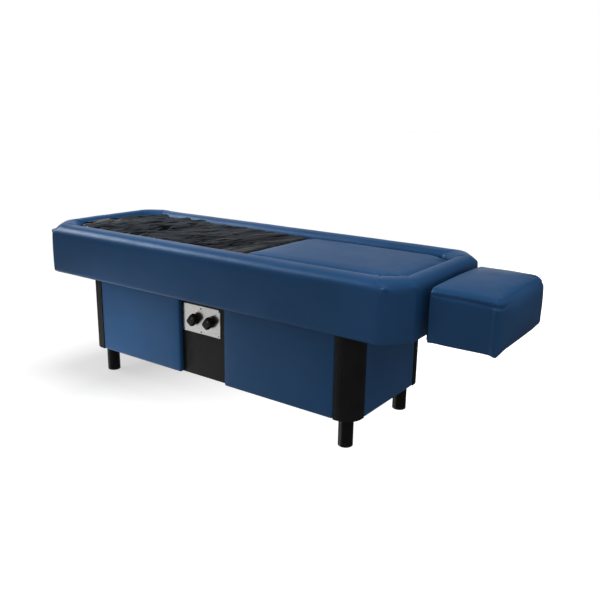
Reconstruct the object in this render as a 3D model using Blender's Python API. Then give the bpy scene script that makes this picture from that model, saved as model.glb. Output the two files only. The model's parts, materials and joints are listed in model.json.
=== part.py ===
"""Dry hydrotherapy massage table: an upholstered deck on a cabinet, with a water tank, a travelling
jet carriage and a pump under a rubber membrane, and a pull-out foot extension.

Metres, +Z up. +X runs towards the foot extension and -Y is the side with the two control knobs.
"""

from math import cos, pi, radians, sin, tan

import bmesh
import bpy
from mathutils import Matrix, Vector

# ---------------------------------------------------------------------------------------------
# Driving dimensions
# ---------------------------------------------------------------------------------------------

GAP = 0.0003                  # clearance between pieces that touch
DECK_HALF_LENGTH = 0.9725
DECK_HALF_WIDTH = 0.380
DECK_TOP = 0.719
DECK_BOTTOM = 0.4935
DECK_CORNER_CUT = (0.075, 0.109)
OPENING_HALF_LENGTH = 0.897
OPENING_HALF_WIDTH = 0.267
OPENING_CORNER_CUT = (0.076, 0.057)

CABINET_HALF_LENGTH = 0.751
CABINET_HALF_WIDTH = 0.293
CABINET_BOTTOM = 0.1264
CABINET_TOP = 0.493
PANEL_THICKNESS = 0.018
POST_RADIUS = 0.073
POST_REACH = 0.0875           # how far a corner post covers each face, from the corner
POST_THICKNESS = 0.016

LEG_RADIUS = 0.030
LEG_X = 0.683
LEG_Y = 0.224

EXTENSION_FACE = 0.9985       # inner face of the foot extension's board
EXTENSION_END = 1.2551
EXTENSION_HALF_WIDTH = 0.2366
EXTENSION_BOTTOM = 0.4936
EXTENSION_TOP = 0.6855
ROD_RADIUS = 0.0125
ROD_Y = 0.140
ROD_Z = 0.585

COLUMN_LEFT = -0.143
COLUMN_RIGHT = 0.112
COLUMN_RECESS = 0.020
PLATE_LEFT = -0.140
PLATE_RIGHT = 0.079
PLATE_BOTTOM = 0.3245
PLATE_TOP = 0.4495
TIMER_PLACE = (-0.067, 0.385)     # x and z of the knob axes
PRESSURE_PLACE = (0.023, 0.386)
KNOB_POINTER_ANGLE = radians(52)

TANK_SETBACK = 0.034          # from the opening's edge to the tray's outer wall
TANK_RIGHT = 0.128
TANK_FLOOR = 0.515
TANK_WALL = 0.005
LEDGE_TOP = 0.650
SUMP_LEFT = -0.620
SUMP_RIGHT = -0.200
SUMP_HALF_WIDTH = 0.195
SUMP_BOTTOM = 0.215

PAD_LEFT = 0.162
PAD_TOP = 0.6995

RAIL_RADIUS = 0.008
RAIL_Y = 0.160
RAIL_Z = 0.565
CARRIAGE_X = -0.365           # middle of the carriage's travel
PULLEY_RADIUS = 0.020
DRIVE_PULLEY_X = 0.090
IDLER_PULLEY_X = -0.815
BELT_Z = 0.537

PUMP_Z = 0.250
PUMP_X = 0.215
SHAFT_RADIUS = 0.003
INLET_Z = 0.200               # middle of the power inlet, on the deck's middle line
INLET_HALF_WIDTH = 0.024
INLET_HALF_HEIGHT = 0.012

# The extension sticks out at one end, so the deck stands off the middle of the whole object.
TABLE_X = -(EXTENSION_END - DECK_HALF_LENGTH) / 2


# ---------------------------------------------------------------------------------------------
# Materials
# ---------------------------------------------------------------------------------------------

def material(name, colour, roughness, metallic=0.0):
    """A Principled material with one plain colour."""
    made = bpy.data.materials.new(name)
    made.use_nodes = True
    made.diffuse_color = (*colour, 1.0)
    shader = made.node_tree.nodes["Principled BSDF"]
    shader.inputs["Base Color"].default_value = (*colour, 1.0)
    shader.inputs["Roughness"].default_value = roughness
    shader.inputs["Metallic"].default_value = metallic
    return made


def make_materials():
    """Every material of the table, by a plain name."""
    return {
        "vinyl": material("blue_vinyl", (0.022, 0.062, 0.135), 0.42),
        "rubber": material("black_membrane_rubber", (0.020, 0.020, 0.021), 0.45),
        "black": material("black_laminate", (0.013, 0.013, 0.014), 0.50),
        "leg": material("black_leg_lacquer", (0.008, 0.008, 0.009), 0.35),
        "steel": material("stainless_steel", (0.62, 0.62, 0.60), 0.28, 1.0),
        "tube": material("chromed_tube", (0.70, 0.70, 0.70), 0.18, 1.0),
        "timber": material("birch_plywood", (0.52, 0.36, 0.20), 0.65),
        "tank": material("tank_plastic", (0.55, 0.58, 0.60), 0.40),
        "acetal": material("white_acetal", (0.80, 0.80, 0.78), 0.40),
        "knob": material("black_knob_plastic", (0.010, 0.010, 0.011), 0.38),
        "motor": material("motor_paint", (0.10, 0.12, 0.13), 0.50, 0.3),
        "hose": material("hose_rubber", (0.03, 0.03, 0.03), 0.55),
        "brass": material("brass", (0.70, 0.48, 0.20), 0.30, 1.0),
    }


# ---------------------------------------------------------------------------------------------
# Outlines and loops
# ---------------------------------------------------------------------------------------------

def rectangle(x0, x1, y0, y1):
    """The four corners of a rectangle, counter-clockwise."""
    return [Vector((x0, y0)), Vector((x1, y0)), Vector((x1, y1)), Vector((x0, y1))]


def cut_rectangle(half_length, half_width, cut):
    """A rectangle about the origin whose four corners are cut off at an angle."""
    cut_x, cut_y = cut
    corners = []
    for side_x, side_y, first_along_x in ((1, -1, True), (1, 1, False), (-1, 1, True), (-1, -1, False)):
        along_x = Vector((side_x * (half_length - cut_x), side_y * half_width))
        along_y = Vector((side_x * half_length, side_y * (half_width - cut_y)))
        corners += [along_x, along_y] if first_along_x else [along_y, along_x]
    return corners


def inset(points, distance):
    """Move every side of a counter-clockwise convex polygon inwards by a distance."""
    normals = []
    for index, point in enumerate(points):
        side = (points[(index + 1) % len(points)] - point).normalized()
        normals.append(Vector((-side.y, side.x)))
    moved = []
    for index, point in enumerate(points):
        before = normals[index - 1]
        after = normals[index]
        moved.append(point + (before + after) * distance / (1 + before.dot(after)))
    return moved


def rounded(points, radius, steps):
    """Turn each corner of a counter-clockwise convex polygon into an arc of steps + 1 points."""
    loop = []
    for index, corner in enumerate(points):
        arriving = (corner - points[index - 1]).normalized()
        leaving = (points[(index + 1) % len(points)] - corner).normalized()
        turn = arriving.angle(leaving)
        inwards = Vector((-arriving.y, arriving.x))
        start = corner - arriving * radius * tan(turn / 2)
        centre = start + inwards * radius
        for step in range(steps + 1):
            loop.append(centre - Matrix.Rotation(turn * step / steps, 2) @ inwards * radius)
    return loop


def level(points, height):
    """Lift a plan outline to a height."""
    return [Vector((point.x, point.y, height)) for point in points]


def circle(radius, height, segments=24):
    """A horizontal circle of points about the local Z axis."""
    turns = (2 * pi * index / segments for index in range(segments))
    return [Vector((radius * cos(turn), radius * sin(turn), height)) for turn in turns]


def arc(centre, radius, start, end, steps):
    """Points of a profile arc, as (distance, height) pairs."""
    turns = (start + (end - start) * step / steps for step in range(steps + 1))
    return [(centre[0] + radius * cos(turn), centre[1] + radius * sin(turn)) for turn in turns]


# ---------------------------------------------------------------------------------------------
# Solids
# ---------------------------------------------------------------------------------------------

def finish(name, mesh_data, paint, place=(0.0, 0.0, 0.0), turn=(0.0, 0.0, 0.0)):
    """Make one named object of a bmesh, placed in the deck's own frame."""
    bmesh.ops.recalc_face_normals(mesh_data, faces=mesh_data.faces)
    mesh = bpy.data.meshes.new(name)
    mesh_data.to_mesh(mesh)
    mesh_data.free()
    mesh.materials.append(paint)
    mesh.shade_smooth()
    mesh.set_sharp_from_angle(angle=radians(35))
    made = bpy.data.objects.new(name, mesh)
    bpy.context.scene.collection.objects.link(made)
    made.location = Vector(place) + Vector((TABLE_X, 0.0, 0.0))
    made.rotation_euler = turn
    return made


def loft(name, loops, paint, place=(0.0, 0.0, 0.0), turn=(0.0, 0.0, 0.0), ring=False):
    """Join loops of equally many points into a closed solid, capped at its ends or closed in a ring."""
    body = bmesh.new()
    rows = [[body.verts.new(point) for point in loop] for loop in loops]
    pairs = list(zip(rows, rows[1:]))
    if ring:
        pairs.append((rows[-1], rows[0]))
    else:
        body.faces.new(rows[0])
        body.faces.new(rows[-1])
    for lower, upper in pairs:
        for index in range(len(lower)):
            after = (index + 1) % len(lower)
            body.faces.new((lower[index], lower[after], upper[after], upper[index]))
    return finish(name, body, paint, place, turn)


def block(name, low, high, paint, radius=0.0, segments=2, turn=(0.0, 0.0, 0.0)):
    """A box between two corners, with its edges rounded when a radius is given."""
    low = Vector(low)
    high = Vector(high)
    body = bmesh.new()
    bmesh.ops.create_cube(body, size=1.0)
    bmesh.ops.scale(body, vec=high - low, verts=body.verts)
    if radius:
        bmesh.ops.bevel(body, geom=body.edges[:], offset=radius, segments=segments,
                        profile=0.5, affect='EDGES')
    return finish(name, body, paint, (low + high) / 2, turn)


def turned(name, profile, paint, place, turn=(0.0, 0.0, 0.0), segments=24, ring=False):
    """A turned piece: a profile of (radius, height) pairs carried round the local Z axis."""
    loops = [circle(radius, height, segments) for radius, height in profile]
    return loft(name, loops, paint, place, turn, ring)


def tube(name, outer, inner, length, paint, place, turn):
    """A straight tube from its place along its local Z axis."""
    profile = [(outer, 0.0), (outer, length), (inner, length), (inner, 0.0)]
    return turned(name, profile, paint, place, turn, ring=True)


ALONG_X = (0.0, pi / 2, 0.0)          # turns local Z to +X
TOWARDS_FRONT = (pi / 2, 0.0, 0.0)    # turns local Z to -Y


def drill(target, holes):
    """Cut round holes through a piece: each is (start, radius, length, turn) in the deck's frame."""
    body = bmesh.new()
    for start, radius, length, turn in holes:
        rotation = Matrix.Rotation(turn[1], 4, 'Y') @ Matrix.Rotation(turn[0], 4, 'X')
        middle = Matrix.Translation((0.0, 0.0, length / 2))
        matrix = Matrix.Translation(start) @ rotation @ middle
        bmesh.ops.create_cone(body, cap_ends=True, segments=20, radius1=radius, radius2=radius,
                              depth=length, matrix=matrix)
    combine(target, body, 'DIFFERENCE')


def box_mesh(low, high):
    """A plain box between two corners, as a bmesh."""
    body = bmesh.new()
    bmesh.ops.create_cube(body, size=1.0)
    bmesh.ops.scale(body, vec=Vector(high) - Vector(low), verts=body.verts)
    bmesh.ops.translate(body, vec=(Vector(high) + Vector(low)) / 2, verts=body.verts)
    return body


def window(target, low, high):
    """Cut a rectangular window through a piece."""
    combine(target, box_mesh(low, high), 'DIFFERENCE')


def combine(target, body, operation):
    """Cut a bmesh, given in the deck's frame, out of a piece, or join it on, with a Boolean."""
    name = "guide_of_" + target.name
    mesh = bpy.data.meshes.new(name)
    body.to_mesh(mesh)
    body.free()
    cutter = bpy.data.objects.new(name, mesh)
    bpy.context.scene.collection.objects.link(cutter)
    cutter.location = (TABLE_X, 0.0, 0.0)
    cutter.hide_render = True
    cutter.display_type = 'WIRE'
    modifier = target.modifiers.new("combine", 'BOOLEAN')
    modifier.operation = operation
    modifier.solver = 'EXACT'
    modifier.object = cutter


# ---------------------------------------------------------------------------------------------
# Deck
# ---------------------------------------------------------------------------------------------

OUTER_CORNER_RADIUS = 0.030
INNER_CORNER_RADIUS = 0.018
OUTER_TOP_RADIUS = 0.034
OUTER_FOOT_RADIUS = 0.010
LIP_RADIUS = 0.012
RIM_SIDE_FOAM = 0.022
RIM_TOP_FOAM = 0.035
RIM_LIP_FOAM = 0.014
LIP_BOTTOM = 0.6545
LIP_TOP_DROP = 0.002          # how far the lip's edge lies under the deck's top
CORNER_STEPS = 3
RIM_ROD_CLEARANCE = 0.0025
SOCKET_WALL = 0.005
DECK_FLOOR_THICKNESS = 0.0157
DECK_FLOOR_OPENING = (0.700, 0.250)    # half length and half width
SUPPORT_THICKNESS = 0.020
BEAM_LEFT = 0.1345
BEAM_RIGHT = 0.1745
BEAM_DEPTH = 0.050


def outer_loop(distance, height):
    """The deck's outer outline, a distance inside its face, at a height."""
    corners = inset(cut_rectangle(DECK_HALF_LENGTH, DECK_HALF_WIDTH, DECK_CORNER_CUT), distance)
    return level(rounded(corners, max(OUTER_CORNER_RADIUS - distance, 0.004), CORNER_STEPS), height)


def opening_loop(distance, height, half_length=OPENING_HALF_LENGTH):
    """The opening's outline, a distance outside its edge, at a height."""
    corners = inset(cut_rectangle(half_length, OPENING_HALF_WIDTH, OPENING_CORNER_CUT), -distance)
    return level(rounded(corners, INNER_CORNER_RADIUS + distance, CORNER_STEPS), height)


def make_deck_rim(paints):
    """Padded vinyl rim: an upside-down channel over the deck's timber frame."""
    foot = arc((OUTER_FOOT_RADIUS, DECK_BOTTOM + OUTER_FOOT_RADIUS), OUTER_FOOT_RADIUS,
               1.5 * pi, pi, 2)
    shoulder = arc((OUTER_TOP_RADIUS, DECK_TOP - OUTER_TOP_RADIUS), OUTER_TOP_RADIUS,
                   pi, pi / 2, 5)
    lip = arc((LIP_RADIUS, DECK_TOP - LIP_TOP_DROP - LIP_RADIUS), LIP_RADIUS, pi / 2, pi, 3)
    loops = [outer_loop(distance, height) for distance, height in foot + shoulder]
    loops += [opening_loop(distance, height) for distance, height in lip]
    loops.append(opening_loop(0.0, LIP_BOTTOM))
    loops.append(opening_loop(RIM_LIP_FOAM, LIP_BOTTOM))
    loops.append(opening_loop(RIM_LIP_FOAM, DECK_TOP - RIM_TOP_FOAM))
    loops.append(outer_loop(RIM_SIDE_FOAM, DECK_TOP - RIM_TOP_FOAM))
    loops.append(outer_loop(RIM_SIDE_FOAM, DECK_BOTTOM))
    rim = loft("deck_rim", loops, paints["vinyl"], ring=True)
    drill_for_rods(rim, ROD_RADIUS + RIM_ROD_CLEARANCE)


def drill_for_rods(target, radius):
    """Open the foot end of a deck piece for the two extension rods."""
    start_x = OPENING_HALF_LENGTH - 0.037
    length = 0.160
    holes = [((start_x, side * ROD_Y, ROD_Z), radius, length, ALONG_X) for side in (-1, 1)]
    drill(target, holes)


def make_deck_frame(paints):
    """Timber box frame inside the rim: outer wall, top board and inner wall."""
    wall = 0.012
    outside = RIM_SIDE_FOAM + GAP
    inside = RIM_LIP_FOAM + GAP
    top = DECK_TOP - RIM_TOP_FOAM - GAP
    bottom = DECK_BOTTOM + DECK_FLOOR_THICKNESS + GAP
    loops = [
        outer_loop(outside, bottom),
        outer_loop(outside, top),
        opening_loop(inside, top),
        opening_loop(inside, bottom),
        opening_loop(inside + wall, bottom),
        opening_loop(inside + wall, top - wall),
        outer_loop(outside + wall, top - wall),
        outer_loop(outside + wall, bottom),
    ]
    frame = loft("deck_frame", loops, paints["timber"], ring=True)
    drill_for_rods(frame, ROD_RADIUS + SOCKET_WALL + 0.0005)


def make_deck_floor(paints):
    """Plywood floor of the deck, open over the cabinet for the sump and the pump."""
    low = DECK_BOTTOM
    high = DECK_BOTTOM + DECK_FLOOR_THICKNESS
    half_length, half_width = DECK_FLOOR_OPENING
    hole = rounded(rectangle(-half_length, half_length, -half_width, half_width), 0.020,
                   2 * CORNER_STEPS + 1)
    outer = RIM_SIDE_FOAM + GAP
    loops = [outer_loop(outer, low), outer_loop(outer, high), level(hole, high), level(hole, low)]
    loft("deck_floor", align_loops(loops), paints["timber"], ring=True)


def align_loops(loops):
    """Start every loop at its point nearest to the first loop's start, so that faces stay straight."""
    aligned = [loops[0]]
    start = loops[0][0]
    for loop in loops[1:]:
        first = min(range(len(loop)), key=lambda index: (loop[index].xy - start.xy).length)
        aligned.append(loop[first:] + loop[:first])
    return aligned


def make_support_frame(paints):
    """Timber ledge round the opening, with the beam across it between the tank and the leg pad."""
    outer = RIM_LIP_FOAM - GAP
    ledge = -0.030
    loops = [
        opening_loop(outer, LEDGE_TOP - SUPPORT_THICKNESS),
        opening_loop(outer, LEDGE_TOP),
        opening_loop(ledge, LEDGE_TOP),
        opening_loop(ledge, LEDGE_TOP - SUPPORT_THICKNESS),
    ]
    frame = loft("support_frame", loops, paints["timber"], ring=True)
    half = OPENING_HALF_WIDTH + ledge + 0.010
    beam = box_mesh((BEAM_LEFT, -half, LEDGE_TOP - BEAM_DEPTH), (BEAM_RIGHT, half, LEDGE_TOP - 0.001))
    combine(frame, beam, 'UNION')


# ---------------------------------------------------------------------------------------------
# Top: membrane, clamp frame and leg pad
# ---------------------------------------------------------------------------------------------

CLAMP_HEIGHT = 0.008
CLAMP_WIDTH = 0.024
FLANGE_TOP = LEDGE_TOP + GAP + TANK_WALL
MEMBRANE_SIDE = 0.003         # gap between the membrane and the opening's lip
MEMBRANE_RIGHT = 0.150
MEMBRANE_THICKNESS = 0.004
MEMBRANE_RISE = 0.026
PAD_BOARD_THICKNESS = 0.012
PAD_SIDE = 0.004              # gap between the leg pad and the opening's lip
PAD_EDGE = 0.012
PAD_CORNER = 0.022
PAD_CROWN = 0.080             # how far in the pad's top reaches its full height


def top_outline(distance, right):
    """Opening outline cut straight across at x = right, for what lies at the head end."""
    corners = inset(cut_rectangle(OPENING_HALF_LENGTH, OPENING_HALF_WIDTH, OPENING_CORNER_CUT),
                    distance)
    head = [corner for corner in corners if corner.x < 0]
    half_width = max(corner.y for corner in corners)
    return head + [Vector((right, -half_width)), Vector((right, half_width))]


def foot_outline(distance, left):
    """Opening outline cut straight across at x = left, for what lies at the foot end."""
    corners = inset(cut_rectangle(OPENING_HALF_LENGTH, OPENING_HALF_WIDTH, OPENING_CORNER_CUT),
                    distance)
    foot = [corner for corner in corners if corner.x > 0]
    half_width = max(corner.y for corner in corners)
    return foot + [Vector((left, half_width)), Vector((left, -half_width))]


def make_membrane_frame(paints):
    """Aluminium frame that holds the membrane's edge over the tank's flange."""
    low = FLANGE_TOP + GAP
    high = low + CLAMP_HEIGHT
    outer = rounded(top_outline(MEMBRANE_SIDE, MEMBRANE_RIGHT), 0.010, CORNER_STEPS)
    inner = rounded(top_outline(MEMBRANE_SIDE + CLAMP_WIDTH, MEMBRANE_RIGHT - CLAMP_WIDTH), 0.006,
                    CORNER_STEPS)
    loops = [level(outer, low), level(outer, high), level(inner, high), level(inner, low)]
    loft("membrane_frame", loops, paints["steel"], ring=True)


def make_membrane(paints):
    """Rubber sheet over the tank, a shallow dome of one thickness."""
    low = FLANGE_TOP + 2 * GAP + CLAMP_HEIGHT
    insets = (0.0, 0.004, 0.020, 0.050, 0.100, 0.170)
    rises = (0.0, 0.50, 0.85, 0.95, 0.99, 1.0)
    loops = []
    for distance, rise in zip(insets, rises):
        outline = rounded(top_outline(MEMBRANE_SIDE + distance, MEMBRANE_RIGHT - distance),
                          0.010, CORNER_STEPS)
        loops.append(level(outline, low + MEMBRANE_THICKNESS + MEMBRANE_RISE * rise))
    under = []
    for distance, rise in zip(insets[2:], rises[2:]):
        outline = rounded(top_outline(MEMBRANE_SIDE + distance + 0.006,
                                      MEMBRANE_RIGHT - distance - 0.006), 0.008, CORNER_STEPS)
        under.append(level(outline, low + MEMBRANE_RISE * rise))
    edge = level(rounded(top_outline(MEMBRANE_SIDE, MEMBRANE_RIGHT), 0.010, CORNER_STEPS), low)
    seat = level(rounded(top_outline(MEMBRANE_SIDE + 0.020, MEMBRANE_RIGHT - 0.020), 0.008,
                         CORNER_STEPS), low)
    loft("water_membrane", under[::-1] + [seat, edge] + loops, paints["rubber"])


def make_leg_pad(paints):
    """Padded leg rest on its own board, which lifts out over the pump."""
    side = PAD_SIDE
    board_top = LEDGE_TOP + GAP + PAD_BOARD_THICKNESS
    outline = rounded(foot_outline(side, PAD_LEFT - 0.002), 0.010, CORNER_STEPS)
    loft("leg_pad_board", [level(outline, LEDGE_TOP + GAP), level(outline, board_top)],
         paints["timber"])
    low = board_top + GAP
    loops = [level(rounded(foot_outline(side + 0.002, PAD_LEFT + 0.002), 0.020, CORNER_STEPS), low)]
    for step in range(4):
        turn = step * pi / 6
        distance = side + PAD_EDGE * (1 - cos(turn))
        height = PAD_TOP - 0.004 - PAD_EDGE * (1 - sin(turn))
        shape = foot_outline(distance, PAD_LEFT + distance - side)
        loops.append(level(rounded(shape, PAD_CORNER, CORNER_STEPS), height))
    crown = foot_outline(side + PAD_CROWN, PAD_LEFT + PAD_CROWN)
    loops.append(level(rounded(crown, 0.012, CORNER_STEPS), PAD_TOP))
    loft("leg_pad", loops, paints["vinyl"])


# ---------------------------------------------------------------------------------------------
# Foot extension
# ---------------------------------------------------------------------------------------------

EXTENSION_BOARD = 0.012
BOARD_MARGIN = 0.006          # how far the padding laps past the board's edges
PADDING_CORNER = 0.016
END_ROUND = (0.0, 0.001, 0.005, 0.011, 0.019)      # shrinks of the last stations, 5 mm apart
ROD_LENGTH = 0.300
SOCKET_LENGTH = 0.240
SOCKET_END = 0.9490


def make_extension(paints):
    """Padded block on a board, with two rods that slide in sockets under the deck."""
    face = EXTENSION_FACE
    width = EXTENSION_HALF_WIDTH
    block("extension_board", (face, -width + BOARD_MARGIN, EXTENSION_BOTTOM + BOARD_MARGIN),
          (face + EXTENSION_BOARD, width - BOARD_MARGIN, EXTENSION_TOP - BOARD_MARGIN - 0.002),
          paints["black"], 0.002, 1)
    start = face + EXTENSION_BOARD + GAP
    half_height = (EXTENSION_TOP - EXTENSION_BOTTOM) / 2
    middle = EXTENSION_BOTTOM + half_height
    loops = []
    stations = [start, start + 0.006] + [EXTENSION_END - 0.020 + step * 0.005 for step in range(5)]
    shrinks = (0.004, 0.0) + END_ROUND
    for station, shrink in zip(stations, shrinks):
        sides = rectangle(-width + shrink, width - shrink, -half_height + shrink * 0.4,
                          half_height - shrink)
        outline = rounded(sides, PADDING_CORNER, CORNER_STEPS)
        loops.append([Vector((station, point.x, middle + point.y)) for point in outline])
    loft("foot_extension", loops, paints["vinyl"])
    for side, word in ((-1, "front"), (1, "rear")):
        y = side * ROD_Y
        turned("extension_rod_" + word,
               [(ROD_RADIUS - 0.001, 0.0), (ROD_RADIUS, 0.001), (ROD_RADIUS, ROD_LENGTH)],
               paints["tube"], (face - GAP - ROD_LENGTH, y, ROD_Z), ALONG_X, 20)
        tube("extension_socket_" + word, ROD_RADIUS + SOCKET_WALL, ROD_RADIUS + 0.0008, SOCKET_LENGTH,
             paints["steel"], (SOCKET_END - SOCKET_LENGTH, y, ROD_Z), ALONG_X)


# ---------------------------------------------------------------------------------------------
# Cabinet
# ---------------------------------------------------------------------------------------------

FLOOR_THICKNESS = 0.018
COLUMN_FACE = -CABINET_HALF_WIDTH + COLUMN_RECESS
COLUMN_THICKNESS = 0.018
COLUMN_BEHIND = 0.014         # how far the column reaches behind each panel beside it


def make_cabinet(paints):
    """Floor, upholstered panels, black control column, posts and legs."""
    half_length = CABINET_HALF_LENGTH
    half_width = CABINET_HALF_WIDTH
    bottom = CABINET_BOTTOM
    top = CABINET_TOP
    post = half_length - POST_REACH - GAP
    post_y = half_width - POST_REACH - GAP
    back = half_width - PANEL_THICKNESS
    vinyl = paints["vinyl"]
    soft = 0.006
    inner = half_length - PANEL_THICKNESS - 0.001
    floor = rounded(rectangle(-inner, inner, -back + 0.001, back - 0.001), 0.054, 6)
    board = loft("cabinet_floor", [level(floor, bottom + GAP), level(floor, bottom + FLOOR_THICKNESS)],
                 paints["black"])
    notch = COLUMN_BEHIND + 0.001
    window(board, (COLUMN_LEFT - notch, -half_width, bottom - 0.01),
           (COLUMN_RIGHT + notch, COLUMN_FACE + COLUMN_THICKNESS + GAP, bottom + 0.04))
    block("front_panel_head", (-post, -half_width, bottom),
          (COLUMN_LEFT - 0.0005, -back, top), vinyl, soft)
    block("front_panel_foot", (COLUMN_RIGHT + 0.0005, -half_width, bottom),
          (post, -back, top), vinyl, soft)
    block("end_panel_head", (-half_length, -post_y, bottom),
          (-half_length + PANEL_THICKNESS, post_y, top), vinyl, soft)
    block("end_panel_foot", (half_length - PANEL_THICKNESS, -post_y, bottom),
          (half_length, post_y, top), vinyl, soft)
    rear = block("rear_panel", (-post, back, bottom), (post, half_width, top), vinyl, soft)
    reach, lift = INLET_HALF_WIDTH + 0.002, INLET_HALF_HEIGHT + 0.002
    window(rear, (-reach, back - 0.01, INLET_Z - lift), (reach, half_width + 0.01, INLET_Z + lift))
    for side_x, end in ((-1, "head"), (1, "foot")):
        for side_y, face in ((-1, "front"), (1, "rear")):
            make_post(paints, side_x, side_y, "_" + end + "_" + face)
            make_leg(paints, side_x, side_y, "_" + end + "_" + face)


def make_post(paints, side_x, side_y, suffix):
    """Black corner post, a quarter round with a short straight part along each face."""
    path = [Vector((-POST_REACH, 0.0))]
    normals = [Vector((0.0, 1.0))]
    steps = 8
    for step in range(steps + 1):
        turn = pi / 2 * (1 - step / steps)
        normal = Vector((cos(turn), sin(turn)))
        path.append(Vector((-POST_RADIUS, -POST_RADIUS)) + normal * POST_RADIUS)
        normals.append(normal)
    path.append(Vector((0.0, -POST_REACH)))
    normals.append(Vector((1.0, 0.0)))
    loops = []
    for point, normal in zip(path, normals):
        inner = point - normal * POST_THICKNESS
        corners = ((point, CABINET_BOTTOM), (point, CABINET_TOP),
                   (inner, CABINET_TOP), (inner, CABINET_BOTTOM))
        loops.append([Vector((side_x * (CABINET_HALF_LENGTH + flat.x),
                              side_y * (CABINET_HALF_WIDTH + flat.y), height))
                      for flat, height in corners])
    loft("post" + suffix, loops, paints["black"])


def make_leg(paints, side_x, side_y, suffix):
    """Round leg from the floor to the cabinet's underside."""
    edge = 0.0015
    top = CABINET_BOTTOM - GAP
    profile = [(LEG_RADIUS - edge, 0.0), (LEG_RADIUS, edge), (LEG_RADIUS, top)]
    turned("leg" + suffix, profile, paints["leg"], (side_x * LEG_X, side_y * LEG_Y, 0.0), segments=32)


# ---------------------------------------------------------------------------------------------
# Controls
# ---------------------------------------------------------------------------------------------

PLATE_THICKNESS = 0.002
PLATE_FACE = COLUMN_FACE - GAP - PLATE_THICKNESS
PLATE_NOTCH = (0.008, 0.010)      # width and height cut from the plate's two upper corners
KNOB_GRIP = (0.0262, 0.0200)      # half length and half width of the bar grip
KNOB_SKIRT = 0.0210
KNOB_HEIGHT = 0.026
KNOB_BORE_DEPTH = 0.012
SHAFT_LENGTHS = (-0.032, 0.0115)     # behind and in front of the knob's back
COLUMN_BORE = 0.007
PLATE_BORE = 0.005
SCREW_RADIUS = 0.0032
TIMER_BODY = (0.024, 0.040)          # half width and depth
REGULATOR_BODY = (0.021, 0.046)


def bar_outline(angle, height, scale):
    """Loop of a bar grip with soft corners, its length turned to an angle."""
    half_length, half_width = KNOB_GRIP
    power = 5
    points = []
    for base in circle(1.0, height, 40):
        x = base.x * cos(angle) + base.y * sin(angle)
        y = base.y * cos(angle) - base.x * sin(angle)
        reach = ((abs(x) / half_length) ** power + (abs(y) / half_width) ** power) ** (-1 / power)
        points.append(Vector((base.x * reach * scale, base.y * reach * scale, height)))
    return points


def make_knob(name, place, paints):
    """Bar knob with a round skirt and a blind bore, and the shaft that it sits on."""
    bore = SHAFT_RADIUS + GAP
    angle = KNOB_POINTER_ANGLE
    x, z = place
    back = PLATE_FACE - 0.001
    loops = [
        circle(bore, KNOB_BORE_DEPTH, 40),
        circle(bore, 0.0, 40),
        circle(KNOB_SKIRT, 0.0, 40),
        circle(KNOB_SKIRT, 0.004, 40),
        circle(KNOB_SKIRT - 0.0015, 0.0055, 40),
        bar_outline(angle, 0.0065, 0.62),
        bar_outline(angle, 0.0075, 1.0),
        bar_outline(angle, KNOB_HEIGHT - 0.002, 0.93),
        bar_outline(angle, KNOB_HEIGHT, 0.83),
    ]
    loft(name + "_knob", loops, paints["knob"], (x, back, z), TOWARDS_FRONT)
    turned(name + "_shaft", [(SHAFT_RADIUS, end) for end in SHAFT_LENGTHS], paints["steel"],
           (x, back, z), TOWARDS_FRONT, 16)


def make_controls(paints):
    """Recessed column, stainless plate, two knobs and what they turn."""
    column_back = COLUMN_FACE + COLUMN_THICKNESS
    column = block("control_column", (COLUMN_LEFT - COLUMN_BEHIND, COLUMN_FACE, CABINET_BOTTOM + 0.001),
                   (COLUMN_RIGHT + COLUMN_BEHIND, column_back, CABINET_TOP), paints["black"], 0.0015, 1)
    plate = block("control_plate", (PLATE_LEFT, PLATE_FACE, PLATE_BOTTOM),
                  (PLATE_RIGHT, COLUMN_FACE - GAP, PLATE_TOP), paints["steel"], 0.0006, 1)
    reach, drop = PLATE_NOTCH
    for x in (PLATE_LEFT, PLATE_RIGHT):
        window(plate, (x - reach, PLATE_FACE - reach, PLATE_TOP - drop),
               (x + reach, COLUMN_FACE + GAP, PLATE_TOP + drop))
    for target, radius in ((column, COLUMN_BORE), (plate, PLATE_BORE)):
        drill(target, [((x, PLATE_FACE + 0.04, z), radius, 0.06, TOWARDS_FRONT)
                       for x, z in (TIMER_PLACE, PRESSURE_PLACE)])
    for name, place in (("timer", TIMER_PLACE), ("pressure", PRESSURE_PLACE)):
        make_knob(name, place, paints)
    make_control_bodies(paints, column_back + GAP)
    middle = (PLATE_LEFT + PLATE_RIGHT) / 2
    for word, z in (("top", PLATE_TOP - 0.012), ("bottom", PLATE_BOTTOM + 0.008)):
        turned("plate_screw_" + word,
               [(SCREW_RADIUS, 0.0), (SCREW_RADIUS, 0.0008), (SCREW_RADIUS - 0.001, 0.0018)],
               paints["knob"],
               (middle, PLATE_FACE - GAP, z), TOWARDS_FRONT, 16)


def make_control_bodies(paints, front):
    """Clockwork timer and pressure regulator behind the column, each bored for its shaft."""
    for name, place, size in (("timer_movement", TIMER_PLACE, TIMER_BODY),
                              ("pressure_regulator", PRESSURE_PLACE, REGULATOR_BODY)):
        x, z = place
        half, depth = size
        body = block(name, (x - half, front, z - half), (x + half, front + depth, z + half),
                     paints["motor"], 0.003, 1)
        drill(body, [((x, front + 0.020, z), SHAFT_RADIUS + 0.0006, 0.030, TOWARDS_FRONT)])


# ---------------------------------------------------------------------------------------------
# Water side
# ---------------------------------------------------------------------------------------------

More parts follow.
